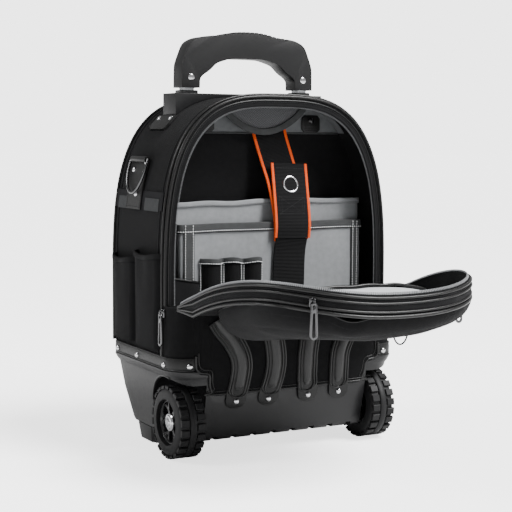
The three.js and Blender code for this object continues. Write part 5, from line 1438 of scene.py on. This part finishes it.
# The wide webbing strap, its eyelet and its stitched box
STRAP_BACK = PARTITION_FRONT - 0.3
UPPER_STRAP = [(17, 0.3, 574), (18, 3, 534), (26, 16, 486), (33, 33, 440), (37, 46.5, 385), (38, 47.5, 348)]
LOWER_STRAP = [(42, 29.5, 477), (39, 50.5, 385), (38, 51.0, 352)]
STRAP_TAIL = [(38, 51.0, 352), (36, 46.5, 320), (34, 46.5, 240)]


def strap_line(rows, count=70, forward=1.2):
    line = np.array([(x, STRAP_BACK - out - forward, z) for x, out, z in rows])
    return smooth_line(line, count)


def strap(name, rows, width, node, edges=True, forward=1.2, thick=2.0):
    line = strap_line(rows, forward=forward)
    out = unit(np.cross(tangents(line), (1, 0, 0)))
    out = out * np.sign(-out[:, 1:2])
    sweep(name, line, slab(width - 8.0, thick), WEBBING, out=out, stands_for=node)
    side = unit(np.cross(out, tangents(line)))
    if edges:
        for k in (-1, 1):
            sweep(f"{name}_edge_{'left' if k < 0 else 'right'}", line + side * k * (width / 2 - 2.6),
                  slab(5.2, thick + 0.7),
                  EDGE_ORANGE, out=out, stands_for=node)
    return line, out, side


strap("strap_upper_webbing", UPPER_STRAP, 66, "strap_upper")
lower, lower_out, lower_side = strap("strap_lower_webbing", LOWER_STRAP, 70, "strap_lower", forward=2.0)
strap("strap_tail_webbing", STRAP_TAIL, 69, "strap_lower", edges=False, forward=0.6)


def on_strap(line, out, side, across, height, raise_by=1.6):
    """Points on the strap's front at places across it and at heights."""
    order = np.argsort(line[:, 2])
    points = []
    for a, z in zip(across, height):
        k = np.interp(z, line[order, 2], order.astype(float))
        i = int(np.clip(round(k), 0, len(line) - 1))
        base = np.array([np.interp(z, line[order, 2], line[order, c]) for c in range(3)])
        points.append(base + side[i] * a + out[i] * raise_by)
    return np.array(points)


def strap_stitches():
    rows = []
    low, high, half = 392.0, 420.0, 24.0
    corners = [(-half, low), (half, low), (half, high), (-half, high), (-half, low)]
    paths = [corners, [(-half, low), (half, high)], [(-half, high), (half, low)],
             [(-half + 4, low + 3.5), (half - 4, low + 3.5), (half - 4, high - 3.5), (-half + 4, high - 3.5),
              (-half + 4, low + 3.5)]]
    for path in paths:
        line = resample(np.array(path, float), 60)
        points = on_strap(lower, lower_out, lower_side, line[:, 0], line[:, 1])
        rows.append((points, np.broadcast_to(lower_out[len(lower_out) // 2], points.shape)))
    edge = np.column_stack([np.linspace(-24, 24, 30), np.full(30, 469.0)])
    points = on_strap(lower, lower_out, lower_side, edge[:, 0], edge[:, 1])
    rows.append((points, np.broadcast_to(lower_out[2], points.shape)))
    stitching("strap_stitches", rows, pitch=3.2, lift=0.5)


strap_stitches()


def ring_round(name, centre, normal, inner, outer, thick, material, **rest):
    """A domed ring with a round hole, lying across its normal."""
    n = unit(np.array(normal, float))
    a = unit(np.cross(n, (1.0, 0.0, 0.0)) if abs(n[0]) < 0.9 else np.cross(n, (0.0, 1.0, 0.0)))
    b = np.cross(n, a)
    middle, wide = (inner + outer) / 2, (outer - inner) / 2
    turn = full_turn(48)
    line = np.array(centre) + middle * (np.cos(turn)[:, None] * a + np.sin(turn)[:, None] * b)
    return sweep(name, line, round_section(wide, 12, flat=thick / 2 / wide), material, closed=True,
                 out=np.broadcast_to(n, line.shape), **rest)


eyelet_place = on_strap(lower, lower_out, lower_side, [0.5], [442.0], 1.9)[0]
eyelet_normal = lower_out[int(np.argmin(np.abs(lower[:, 2] - 442)))]
ring_round("strap_eyelet_ring", eyelet_place, eyelet_normal, 11.4, 15.0, 2.8, CHROME,
           stands_for="strap_eyelet")
eyelet_turn = full_turn(40)
eyelet_a = np.array([1.0, 0.0, 0.0])
eyelet_b = np.cross(eyelet_normal, eyelet_a)
dark = [eyelet_place - eyelet_normal * 1.1 + r * (math.cos(a) * eyelet_a + math.sin(a) * eyelet_b)
        for r in (10.8,) for a in eyelet_turn]
make("strap_eyelet_back", dark + [p - eyelet_normal * 0.4 for p in dark],
     [tuple(range(40)), tuple(range(79, 39, -1))] + [(k, 40 + k, 40 + (k + 1) % 40,
                                                      (k + 1) % 40) for k in range(40)],
     NYLON, slot="webbing")

# The two tabs at the top corners inside
for side, name in SIDES:
    tab_outline = [(18 - 5, 15), (-18 + 5, 15), (-18, 15 - 5), (-18, -15 + 5), (-18 + 5, -15), (18 - 5, -15),
                   (18, -15 + 5), (18, 15 - 5)]
    tab_outline = np.array(tab_outline) + (side * TAB_X, 545)
    tab = make(f"anchor_tab_{name}_trim", *prism(tab_outline, PARTITION_FRONT - 4.2, PARTITION_FRONT - 1.0,
                                                 1), TRIM,
               stands_for=f"anchor_tab_{name}")
    soften(tab, 1.0)
snaps = np.array([(s * TAB_X, PARTITION_FRONT - 4.2, 551.0) for s in (-1, 1)])
repeats("anchor_snaps", snaps, np.tile((1.0, 0, 0), (2, 1)), np.tile(FRONT, (2, 1)), SNAP, HUB_PLASTIC, 0.0)
for k, height in enumerate((541.0, 536.5, 533.5)):
    for side, name in SIDES:
        bar = np.column_stack([side * TAB_X + np.linspace(-14, 14, 8), np.full(8, PARTITION_FRONT - 4.2),
                               np.full(8, height)])
        sweep(f"anchor_tab_{name}_line_{k}", bar, slab(1.2, 0.9), TRIM, out=FRONT)


# The handle and its housing
def rounded_bar(width, depth, corner, steps=4):
    outline = []
    for quarter, (sx, sy) in enumerate(((1, 1), (-1, 1), (-1, -1), (1, -1))):
        a = math.pi / 2 * (quarter + np.linspace(0, 1, steps + 1))
        cx, cy = sx * (width / 2 - corner), sy * (depth / 2 - corner)
        outline += [(cx + corner * math.cos(v), cy + corner * math.sin(v)) for v in a]
    return np.array(outline)


def bar_shape(outline, centre, low, high, chamfer=0.5):
    """Points and faces of an upright bar with small chamfers."""
    middle = np.asarray(centre, float)
    rings = []
    size = np.abs(outline).max(axis=0)
    for z, shrink in ((low, chamfer), (low + chamfer, 0), (high - chamfer, 0), (high, chamfer)):
        rings.append(np.column_stack([outline * (1 - shrink / size) + middle, np.full(len(outline), z)]))
    return stack_rings(rings)


for side, name in SIDES:
    make(f"handle_rod_{name}", *bar_shape(rounded_bar(21.5, 20, 4.5), (side * 110, HANDLE_Y), 70, 634.7),
         ALUMINIUM,
         body="handle", stands_for=f"rod_{name}")

GRIP_OUTER = [(1.155, 0), (1.155, 0.06), (1.15, 0.36), (1.13, 0.46), (1.08, 0.61), (1.03, 0.74), (0.985, 0.8),
              (0.93, 0.84), (0.87, 0.868), (0.8, 0.89), (0.65, 0.912), (0.5, 0.93), (0.37, 0.965),
              (0.24, 0.99),
              (0.12, 1.0), (0, 1.003)]
GRIP_INNER = [(0, 0.53), (0.15, 0.529), (0.3, 0.52), (0.44, 0.48), (0.56, 0.427), (0.66, 0.325),
              (0.72, 0.275),
              (0.77, 0.24), (0.815, 0.195), (0.84, 0.14), (0.845, 0)]
GRIP_LOW, GRIP_TALL, GRIP_REACH = 604.7, 96.8, 110.0


def grip_outline():
    outer = smooth_line(np.array([(x * GRIP_REACH, 0, GRIP_LOW + u * GRIP_TALL) for x, u in GRIP_OUTER]), 46)
    inner = smooth_line(np.array([(x * GRIP_REACH, 0, GRIP_LOW + u * GRIP_TALL) for x, u in GRIP_INNER]), 40)
    right = np.vstack([outer, inner])[:, [0, 2]]
    left = right[::-1][1:-1] * (-1, 1)
    keep_left = np.array([p for p in left if abs(p[0]) > 1e-6])
    outer_part = np.vstack([outer[:, [0, 2]], outer[::-1][1:, [0, 2]] * (-1, 1)])
    inner_part = np.vstack([inner[::-1][:, [0, 2]] * (-1, 1), inner[1:, [0, 2]]])
    assert len(keep_left)
    return np.vstack([outer_part, inner_part])


def build_grip():
    outline = grip_outline()
    points, faces = prism(outline, 4.0, 38.0, 1)
    grip = make("handle_grip", points, faces, GRIP_RUBBER, body="handle", stands_for="grip")
    cutters = [shape_only("socket", *bar_shape(rounded_bar(21.7, 20.2, 4.5), (s * 110, HANDLE_Y), 590, 635.5))
               for s in (-1, 1)]
    for s in (-1, 1):
        for k in range(9):
            x = s * (4 + k * 8.6)
            top = float(np.interp(abs(x) / GRIP_REACH, [v[0] for v in GRIP_OUTER[::-1]],
                                  [v[1] for v in GRIP_OUTER[::-1]]))
            z = GRIP_LOW + GRIP_TALL * top
            cutters.append(box_shape(x - 1.5, x + 1.5, -2, 44, z - 2.4, z + 6))
    carve(grip, cutters)
    soften(grip, 3.2, 3)
    return grip


build_grip()
for side, name in SIDES:
    boss = turned([(0, 0.0), (4.5, 0.0), (6.2, 0.6), (7.2, 1.6), (7.2, 2.6), (5.6, 2.9), (5.2, 1.9),
                   (0, 1.7)][::-1], 28,
                  1, (side * 109, 3.6, 622))
    make(f"grip_screw_{name}", *boss, CHROME, body="handle")


def build_housing():
    half = 142.0
    x = np.linspace(-half, half, 60)
    floor = np.array([arch_z(min(abs(v), 142), -0.9) for v in x])
    floor = np.minimum(floor, 594.0)
    outline = np.vstack([np.column_stack([x, floor]), [(half, 595.0), (-half, 595.0)]])
    low_end = float(floor[0])
    top = [(half, 595.0 - 0.0), (-half, 595.0)]
    outline = np.vstack([np.column_stack([x, floor]), top])
    points, faces = prism(outline, -4.0, 47.0, 1)
    housing = make("top_housing_shell", points, faces, BASE_PLASTIC, stands_for="top_housing")
    cutters = [shape_only("guide hole", *bar_shape(rounded_bar(27.3, 25.8, 5.5), (s * 110, HANDLE_Y),
                                                   low_end - 40, 640))
               for s in (-1, 1)]
    carve(housing, cutters)
    soften(housing, 2.6, 3)
    return housing


build_housing()
for side, name in SIDES:
    ring = rounded_bar(33, 31, 7.0)
    hole = rounded_bar(23.2, 21.7, 4.8)
    n = len(ring)
    centre = np.array([side * 110, HANDLE_Y])
    rings = []
    for outline, z in ((ring * 0.985, 595.2), (ring, 596.0), (ring, 599.4), (ring * 0.93, 600.6),
                       (hole * 1.1, 600.6),
                       (hole, 599.6), (hole, 595.2)):
        rings.append(np.column_stack([outline + centre, np.full(n, z)]))
    points = np.vstack(rings)
    faces = [(a * n + k, a * n + (k + 1) % n, b * n + (k + 1) % n, b * n + k)
             for a, b in zip(range(len(rings)), [*range(1, len(rings)), 0]) for k in range(n)]
    make(f"handle_collar_{name}", points, faces, HUB_PLASTIC, slot="moulded")


def build_patch(side, name):
    """Trim that wraps from the housing's end down the flank, with a rounded lower end."""
    arch = arch_part(-1.2, 532.0, 400)
    right = arch[arch[:, 0] > 143.0][::-1]
    line = resample(np.column_stack([right[:, 0], np.full(len(right), 21.0), right[:, 1]]), 46)
    if line[0, 2] > line[-1, 2]:
        line = line[::-1]
    t = tangents(line)
    out = np.column_stack([t[:, 2], np.zeros(len(t)), -t[:, 0]])
    line, out = line * (side, 1, 1), out * (side, 1, 1)
    corner, half = 13.0, 36.0
    reach = np.clip(lengths_along(line), 0.4, corner)
    width = 1 - (corner - np.sqrt(np.clip(corner ** 2 - (corner - reach) ** 2, 0, None))) / half
    sweep(f"corner_patch_{name}_trim", line + out * 0.6, slab(2 * half, 2.8, corner=1.2), TRIM, out=out,
          scale=np.column_stack([width, np.ones(len(width))]), stands_for=f"corner_patch_{name}")
    rows = [(line[6:] + (0, dy, 0) + out[6:] * 2.1, out[6:]) for dy in (-32.5, 32.5)]
    rows.append((np.column_stack([np.full(30, line[3, 0]), 21 + np.linspace(-26, 26, 30),
                                  np.full(30, line[3, 2])])
                 + out[3] * 2.1, out[3]))
    stitching(f"corner_patch_{name}_stitches", rows)
    k = int(np.argmin(np.abs(line[:, 2] - 551)))
    rivets(f"corner_patch_{name}_rivets", [(tuple(line[k] + (0, dy, 0) + out[k] * 2.0), tuple(out[k]))
                                           for dy in (-24, 22)])


for side, name in SIDES:
    build_patch(side, name)


# The sides
SIDE_POCKETS = (("front", -98.0, -3.0, 180.0, 334.0), ("rear", 3.0, 90.0, 180.0, 322.0))


def side_strip(side, z, y, lift):
    """Points on a flank at heights and depths, raised by lift, with their outward directions."""
    x, zz, out_x, out_z = side_place(side, np.asarray(z, float), lift)
    y = np.broadcast_to(y, x.shape)
    return np.column_stack([x, y, zz]), np.column_stack([out_x, np.zeros_like(x), out_z])


def build_side_pocket(side, side_name, name, front_y, back_y, low, top):
    start = BAG_HALF_WIDTH + 0.8
    length = back_y - front_y
    path = [(start, front_y), (start + 9.0, front_y + 7.0), (start + 12.0, front_y + 0.3 * length),
            (start + 12.0, back_y - 0.3 * length), (start + 9.0, back_y - 7.0), (start, back_y)]
    path = bent_path(path, 11, 72) * (side, 1)
    if side < 0:
        path = path[::-1]
    reach = lengths_along(path)
    middle = np.sin(math.pi * reach / reach[-1])
    sag = 5.0 * middle ** 2 + 1.2 * ripple(reach, np.zeros(72), 101, 50) * middle
    surface, out = open_pocket(f"side_pocket_{name}_{side_name}_cloth", path, low, top, 2.0, NYLON,
                               f"side_pocket_{name}_{side_name}", sag=sag, seed=103, wave=1.0)
    top_binding(f"side_pocket_{name}_{side_name}_binding", surface, out, 9.0, 2.2, BINDING_BLACK)
    stitching(f"side_pocket_{name}_{side_name}_stitches", [(surface[:, -1] - (0, 0, 6.0) + out * 0.5, out)])


def build_side(side, name):
    for pocket in SIDE_POCKETS:
        build_side_pocket(side, name, *pocket)
    z = np.linspace(402, 432, 14)
    y = np.linspace(-92, 98, 40)
    rows = [side_strip(side, z, v, 2.3 + 0.25 * math.sin(v / 17.0)) for v in y]
    surface = np.stack([p for p, _ in rows])
    out = np.stack([o for _, o in rows])
    cloth_sheet(f"side_webbing_{name}_band", surface, 1.6, WEBBING_SIDE, normal=out,
                stands_for=f"side_webbing_{name}")
    for label, y0, y1 in (("front", -80.0, -24.0), ("rear", 51.0, 86.0)):
        zz = np.linspace(400.5, 421.0, 10)
        rows = [side_strip(side, zz, v, 3.6) for v in np.linspace(y0, y1, 14)]
        cloth_sheet(f"side_webbing_{name}_patch_{label}", np.stack([p for p, _ in rows]), 1.1, SIDE_GREY,
                    normal=np.stack([o for _, o in rows]))
    lines = []
    for y0 in (-88.0, -84.0, -14.0, 54.0, 90.0):
        p, o = side_strip(side, np.linspace(405, 429, 12), y0, 2.6)
        lines.append((p, o))
    stitching(f"side_webbing_{name}_stitches", lines, pitch=3.2, lift=0.2)
    # the tab: a strip up to the ring, folded round its bar
    z = np.linspace(400.6, 483.0, 30)
    rows = [side_strip(side, z, v, 4.9) for v in np.linspace(-9.7, 49.7, 14)]
    cloth_sheet(f"ring_tab_{name}_strip", np.stack([p for p, _ in rows]), 2.2, TRIM,
                normal=np.stack([o for _, o in rows]), stands_for=f"ring_tab_{name}")
    roll = side * (float(arch_x(484.0)) + 8.9)
    turn = full_turn(24)
    rings = [np.column_stack([roll + r * np.cos(turn), np.full(24, v), 484 + r * np.sin(turn)])
             for v, r in ((-10, 2.9), (-10, 4.9), (-9.4, 5.2), (49.4, 5.2), (50, 4.9), (50, 2.9))]
    points, faces = stack_rings(rings, cap=False)
    make(f"ring_tab_{name}_fold", points, faces, TRIM, stands_for=f"ring_tab_{name}")
    rows = []
    for v in (-6.5, 46.5):
        p, o = side_strip(side, np.linspace(404, 478, 30), v, 5.0)
        rows.append((p, o))
    p, o = side_strip(side, np.full(20, 405.0), np.linspace(-6.5, 46.5, 20), 5.0)
    rows.append((p, o))
    stitching(f"ring_tab_{name}_stitches", rows, lift=0.3)
    spots = []
    for v, height in ((39.0, 465.0), (-6.0, 478.0), (12.0, 426.0)):
        p, o = side_strip(side, np.array([height]), v + (2.0 if v < 0 else 0.0), 5.0)
        spots.append((tuple(p[0]), tuple(o[0])))
    rivets(f"ring_tab_{name}_rivets", spots)
    # the D-ring
    t = np.linspace(0, math.pi, 40)
    half, drop = 35.0, 56.0
    bar = np.column_stack([np.linspace(-half, half, 12), np.zeros(12)])
    bow = np.column_stack([half * np.cos(t), -drop * np.abs(np.sin(t)) ** 0.8])
    flat = np.vstack([bar[:-1], bow[:-1]])
    flat = resample(flat, 96, closed=True)
    stand_off = arch_x(484.0 + flat[:, 1]) + 8.9 - 0.02 * flat[:, 1]
    line = np.column_stack([side * stand_off, 20.0 + flat[:, 0], 484.0 + flat[:, 1]])
    sweep(f"d_ring_{name}_wire", line, round_section(2.5, 12), PULL_METAL, out=(side, 0, 0), closed=True,
          stands_for=f"d_ring_{name}")


for side, name in SIDES:
    build_side(side, name)


# Zip pulls
def pull_shapes():
    """A slider with its bridge and the slotted tab that hangs from it, about the ring's centre."""
    slider = shape_only("slider", *prism([(-4.5, -8.6), (4.5, -8.6), (4.2, 3.2), (2.6, 4.4), (-2.6, 4.4),
                                          (-4.2, 3.2)],
                                         -1.2, 4.4, 1))
    soften(slider, 0.7)
    bridge_line = [(0, -1.4, 2.8), (0, -4.2, 2.4), (0, -5.0, 0), (0, -4.2, -3.4), (0, -1.4, -4.2)]
    outline = []
    for a in np.linspace(0, math.pi, 10):
        outline.append((5.2 * math.cos(a), -6 + 4.2 * math.sin(a)))
    for a in np.linspace(math.pi, 2 * math.pi, 14):
        outline.append((6.5 * math.cos(a), -48.4 + 6.5 * math.sin(a)))
    tab = shape_only("tab", *prism(outline, -5.4, -2.9, 1))
    slot_line = []
    for a in np.linspace(0, math.pi, 8):
        slot_line.append((2.1 * math.cos(a), -19 + 2.1 * math.sin(a)))
    for a in np.linspace(math.pi, 2 * math.pi, 8):
        slot_line.append((3.2 * math.cos(a), -47.6 + 3.2 * math.sin(a)))
    eye = shape_only("eye", *prism([(2.2 * math.cos(a), -7.6 + 1.9 * math.sin(a))
                                    for a in full_turn(16)], -8, 0, 1))
    hole = shape_only("hole", *prism(slot_line, -8, 0, 1))
    carve(tab, [eye, hole])
    soften(tab, 0.7)
    return slider, bridge_line, tab


def place_pull(node, axis_turn):
    low, high = (np.array(v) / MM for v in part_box(node))
    slider, bridge_line, tab = pull_shapes()
    c, s = math.cos(axis_turn), math.sin(axis_turn)
    centre = (low + high) / 2 - (0, SHIFT / MM, 0)
    # the node's own box runs from y -5.5 to 4.5 and z -55 to 4.5 about the ring's centre
    local = np.array([0.0, (-5.5 + 4.5) / 2, (high[2] - low[2]) / 2 * -1 + 4.5])
    turned_local = np.array([c * local[0] - s * local[1], s * local[0] + c * local[1], local[2]])
    spot = centre - turned_local
    for part_name, piece in (("slider", slider), ("tab", tab)):
        mesh = piece.data
        for v in mesh.vertices:
            x, y, z = (k / MM for k in v.co)
            y -= SHIFT / MM
            v.co = [(c * x - s * y + spot[0]) * MM, (s * x + c * y + spot[1]) * MM + SHIFT,
                    (z + spot[2]) * MM]
        finish = mesh.copy()
        finish.materials.clear()
        bpy.data.objects.remove(piece)
        finish_piece(f"{node}_{part_name}", finish, PULL_METAL, "bag", 34.0, node, "chrome")
    line = np.array(smooth_line(np.array(bridge_line, float), 16))
    line = np.column_stack([c * line[:, 0] - s * line[:, 1] + spot[0],
                            s * line[:, 0] + c * line[:, 1] + spot[1],
                            line[:, 2] + spot[2]])
    sweep(f"{node}_bridge", line, slab(3.6, 1.1), PULL_METAL, out=(c, s, 0.01))


place_pull("zip_pull_front", 0.0)
place_pull("zip_pull_right", 0.0)
place_pull("zip_pull_side", math.radians(-90))


# The back: padding, shoulder straps and their webbing
def build_back_panel():
    low = BAND_TOP + 6.0
    z = low + (BAG_TOP - 13.0 - low) * (1 - (1 - np.linspace(0, 1, 60)) ** 1.7)
    half = arch_x(z, 10.0)
    across = np.sin(np.linspace(-1, 1, 61) * math.pi / 2)[:, None]
    x = across * half[None, :]
    zz = np.broadcast_to(z, x.shape)
    edge = np.minimum((half[None, :] - np.abs(x)), np.minimum(zz - low, np.full_like(x, 400)))
    edge = np.minimum(edge, (BAG_TOP - 13.0 - zz) * 1.4 + 2)
    puff = 11.4 * np.clip(1 - (1 - np.clip(edge / 14, 0, 1)) ** 2, 0, 1) ** 0.6
    groove = 3.6 * (np.exp(-((x / 9.0) ** 2)) + np.exp(-(((zz - 340) / 8.0) ** 2))
                    + np.exp(-(((zz - 460) / 8.0) ** 2)))
    y = BAG_BACK + 0.5 + np.clip(puff - np.minimum(groove, 5.0) * (puff > 8), 1.2, None)
    surface = np.stack([x, y, zz], axis=-1)
    inner = surface.copy()
    inner[..., 1] = BAG_BACK + 0.4
    thick = (surface[..., 1] - inner[..., 1])[..., None]
    piece = cloth_sheet("back_panel_pad", surface, thick, BACK_MESH, normal=np.array((0.0, 1.0, 0.0)),
                        held=None,
                        stands_for="back_panel")


def build_shoulder_strap(side, name):
    z = np.linspace(256, 524, 60)
    line = np.column_stack([np.full(60, side * SHOULDER_X), np.full(60, BAG_BACK + BACK_PAD + 7.2), z])
    scale = np.ones((60, 2))
    reach = np.minimum(z - 256, 524 - z)
    scale[:, 0] = np.clip(1 - (1 - np.clip(reach / 16, 0, 1)) ** 2 * 0.4, 0.2, 1)
    scale[:, 1] = np.clip(1 - (1 - np.clip(reach / 10, 0, 1)) ** 2 * 0.6, 0.2, 1)
    piece = sweep(f"shoulder_strap_{name}_pad", line, slab(61.0, 13.4, corner=0.9, steps=5), BACK_MESH,
                  out=(0, 1, 0),
                  scale=scale, stands_for=f"shoulder_strap_{name}")
    rows = [(line[4:-4] + (dx, 6.9, 0), np.array((0.0, 1.0, 0.0))) for dx in (-25.0, 25.0)]
    stitching(f"shoulder_strap_{name}_stitches", rows)
    web = resample(np.array([(side * SHOULDER_X, BAG_BACK + BACK_PAD + 4.6, 255.4), (side * 150, 116.4, 186.0)]), 20)
    sweep(f"strap_webbing_{name}_band", web, slab(25.0, 2.2), WEBBING_SIDE, out=(0, 1, 0),
          stands_for=f"strap_webbing_{name}")


build_back_panel()
for side, name in SIDES:
    build_shoulder_strap(side, name)


# Wheels
def wheel_place(points, side):
    """Wheel points are made about the axle with x outwards, then set on their side of the bag."""
    points = np.asarray(points, float) * (side, 1, 1)
    return points + (side * WHEEL_MIDDLE, AXLE_Y, WHEEL_RADIUS)


def build_tyre(side, name):
    rows = [(-23.0, 37.6), (-22.6, 46.0), (-22.0, 50.0), (-21.0, 53.0), (-19.2, 54.8), (-10.0, 55.6),
            (-6.4, 56.0),
            (-5.6, 59.0), (-4.4, 59.9), (0.0, 60.0), (4.4, 59.9), (5.6, 59.0), (6.4, 56.0), (10.0, 55.6),
            (19.2, 54.8),
            (21.0, 53.0), (22.0, 50.0), (22.6, 46.0), (23.0, 37.6)]
    sides = 96
    a = full_turn(sides)
    rings = [np.column_stack([np.full(sides, x), r * np.cos(a), r * np.sin(a)]) for x, r in rows]
    points, faces = stack_rings(rings, cap=False)
    tyre = make(f"tyre_{name}_tread", wheel_place(points, side), faces, TYRE_RUBBER, body=f"wheel_{name}",
                stands_for=f"tyre_{name}")
    spots, along, out = [], [], []
    count = 22
    for row, offset in ((-14.4, 0.0), (14.4, 0.5)):
        for k in range(count):
            t = 2 * math.pi * (k + offset) / count
            spots.append((row, 54.7 * math.cos(t), 54.7 * math.sin(t)))
            along.append((0, -math.sin(t), math.cos(t)))
            out.append((0, math.cos(t), math.sin(t)))
    spots = wheel_place(spots, side)
    repeats(f"tyre_{name}_lugs", spots, np.array(along), np.array(out), LUG, TYRE_RUBBER, 0.0, 1,
            body=f"wheel_{name}", stands_for=f"tyre_{name}")
    return tyre


def build_hub(side, name):
    sides = 72
    a = full_turn(sides)
    rows = [(-17, 30.5), (-17, 36.4), (-16.4, 37.0), (16.4, 37.0), (17, 36.4), (17, 33.6), (15.6, 32.8),
            (13.0, 31.8),
            (-13, 30.5)]
    rings = [np.column_stack([np.full(sides, x), r * np.cos(a), r * np.sin(a)]) for x, r in rows]
    points, faces = stack_rings(rings, cap=False)
    hub = make(f"hub_{name}_rim", wheel_place(points, side), faces, HUB_PLASTIC, body=f"wheel_{name}",
               stands_for=f"hub_{name}")
    pieces = []
    for k in range(6):
        t = 2 * math.pi * k / 6 + math.pi / 6
        outline = [(-3.6, 12.0), (-3.2, 20.0), (-6.6, 27.5), (-11.0, 33.0), (-5.4, 35.2), (-2.6, 30.0),
                   (0.0, 26.4),
                   (2.6, 30.0), (5.4, 35.2), (11.0, 33.0), (6.6, 27.5), (3.2, 20.0), (3.6, 12.0)]
        c, s = math.cos(t), math.sin(t)
        ring = np.array([(u * c + v * s, -u * s + v * c) for u, v in outline])
        deep = []
        for x in (-12.0, 13.6):
            deep.append(wheel_place(np.column_stack([np.full(len(ring), x), ring[:, 0], ring[:, 1]]), side))
        pieces.append(shape_only("spoke", *stack_rings(deep)))
    barrel = turned([(0, -17), (14.6, -17), (15.0, -16.6), (15.0, 14.4), (14.4, 15.0), (0, 15.0)], 48, 0)
    pieces.append(shape_only("barrel", wheel_place(barrel[0], side), barrel[1]))
    carve(hub, pieces, "UNION")
    bore = disc_shape(*sorted((side * 150, side * 205)), AXLE_Y, WHEEL_RADIUS, AXLE_BORE, 32)
    carve(hub, [bore])
    soften(hub, 0.8)
    cap = turned([(0, 15.3), (14.5, 15.3), (14.5, 16.6), (13.6, 17.4), (11.6, 17.4), (11.2, 17.9),
                  (10.8, 18.6),
                  (9.0, 19.2), (7.6, 19.0), (7.2, 18.2), (6.4, 18.0), (5.8, 19.4), (4.2, 20.3), (0, 20.3)],
                 48, 0)
    make(f"hub_cap_{name}_chrome", wheel_place(cap[0], side), cap[1], CHROME, body=f"wheel_{name}", sharp=28,
         stands_for=f"hub_cap_{name}")


for side, name in SIDES:
    build_tyre(side, name)
    build_hub(side, name)


# Finishes of the solids that stay
def cad_finish(node, material):
    for o in bpy.data.objects:
        if o.name == node:
            o.data.materials.clear()
            o.data.materials.append(material)


cad_finish("axle", STEEL)
for side, name in SIDES:
    cad_finish(f"handle_guide_{name}", STEEL)


# Floor, light and the last lines
def area_light(name, place, aim, width, power, tint=(1.0, 1.0, 1.0)):
    data = bpy.data.lights.new(name, "AREA")
    data.shape = "DISK"
    data.size = width
    data.energy = power
    data.color = tint
    lamp = bpy.data.objects.new(name, data)
    lamp.location = place
    lamp.rotation_euler = (Vector(aim) - Vector(place)).to_track_quat("-Z", "Y").to_euler()
    bpy.context.collection.objects.link(lamp)


def seen_only(tree, level):
    """A brightness that only the camera sees."""
    path = tree.nodes.new("ShaderNodeLightPath")
    scaled = tree.nodes.new("ShaderNodeMath")
    scaled.operation = "MULTIPLY"
    scaled.inputs[1].default_value = level
    tree.links.new(path.outputs["Is Camera Ray"], scaled.inputs[0])
    return scaled.outputs[0]


def studio():
    half = 60.0
    mesh = bpy.data.meshes.new("floor")
    mesh.from_pydata([(-half, -half, 0), (half, -half, 0), (half, half, 0), (-half, half, 0)], [],
                     [(0, 1, 2, 3)])
    floor = bpy.data.objects.new("floor", mesh)
    bpy.context.collection.objects.link(floor)
    finish = Shader("floor_white", "#f4f4f4", 0.95, spec=0.0)
    finish.bsdf.inputs["Emission Color"].default_value = (1, 1, 1, 1)
    finish.tree.links.new(seen_only(finish.tree, 1.9), finish.bsdf.inputs["Emission Strength"])
    mesh.materials.append(finish.mat)
    world = bpy.data.worlds.new("soft_studio")
    world.use_nodes = True
    background = world.node_tree.nodes["Background"]
    background.inputs["Color"].default_value = (1, 1, 1, 1)
    lifted = world.node_tree.nodes.new("ShaderNodeMath")
    lifted.inputs[1].default_value = 0.42
    world.node_tree.links.new(seen_only(world.node_tree, 3.2), lifted.inputs[0])
    world.node_tree.links.new(lifted.outputs[0], background.inputs["Strength"])
    bpy.context.scene.world = world
    sun = bpy.data.lights.new("sun", "SUN")
    sun.energy = 6.0
    sun.angle = math.radians(24)
    lamp = bpy.data.objects.new("sun", sun)
    lamp.rotation_euler = Vector((-0.5, 0.55, -1.0)).to_track_quat("-Z", "Y").to_euler()
    bpy.context.collection.objects.link(lamp)
    aim = (0.0, 0.1, 0.35)
    area_light("key", (1.5, -2.2, 2.2), aim, 0.9, 70)
    area_light("rim", (-1.9, 0.6, 1.7), aim, 0.8, 34)


studio()
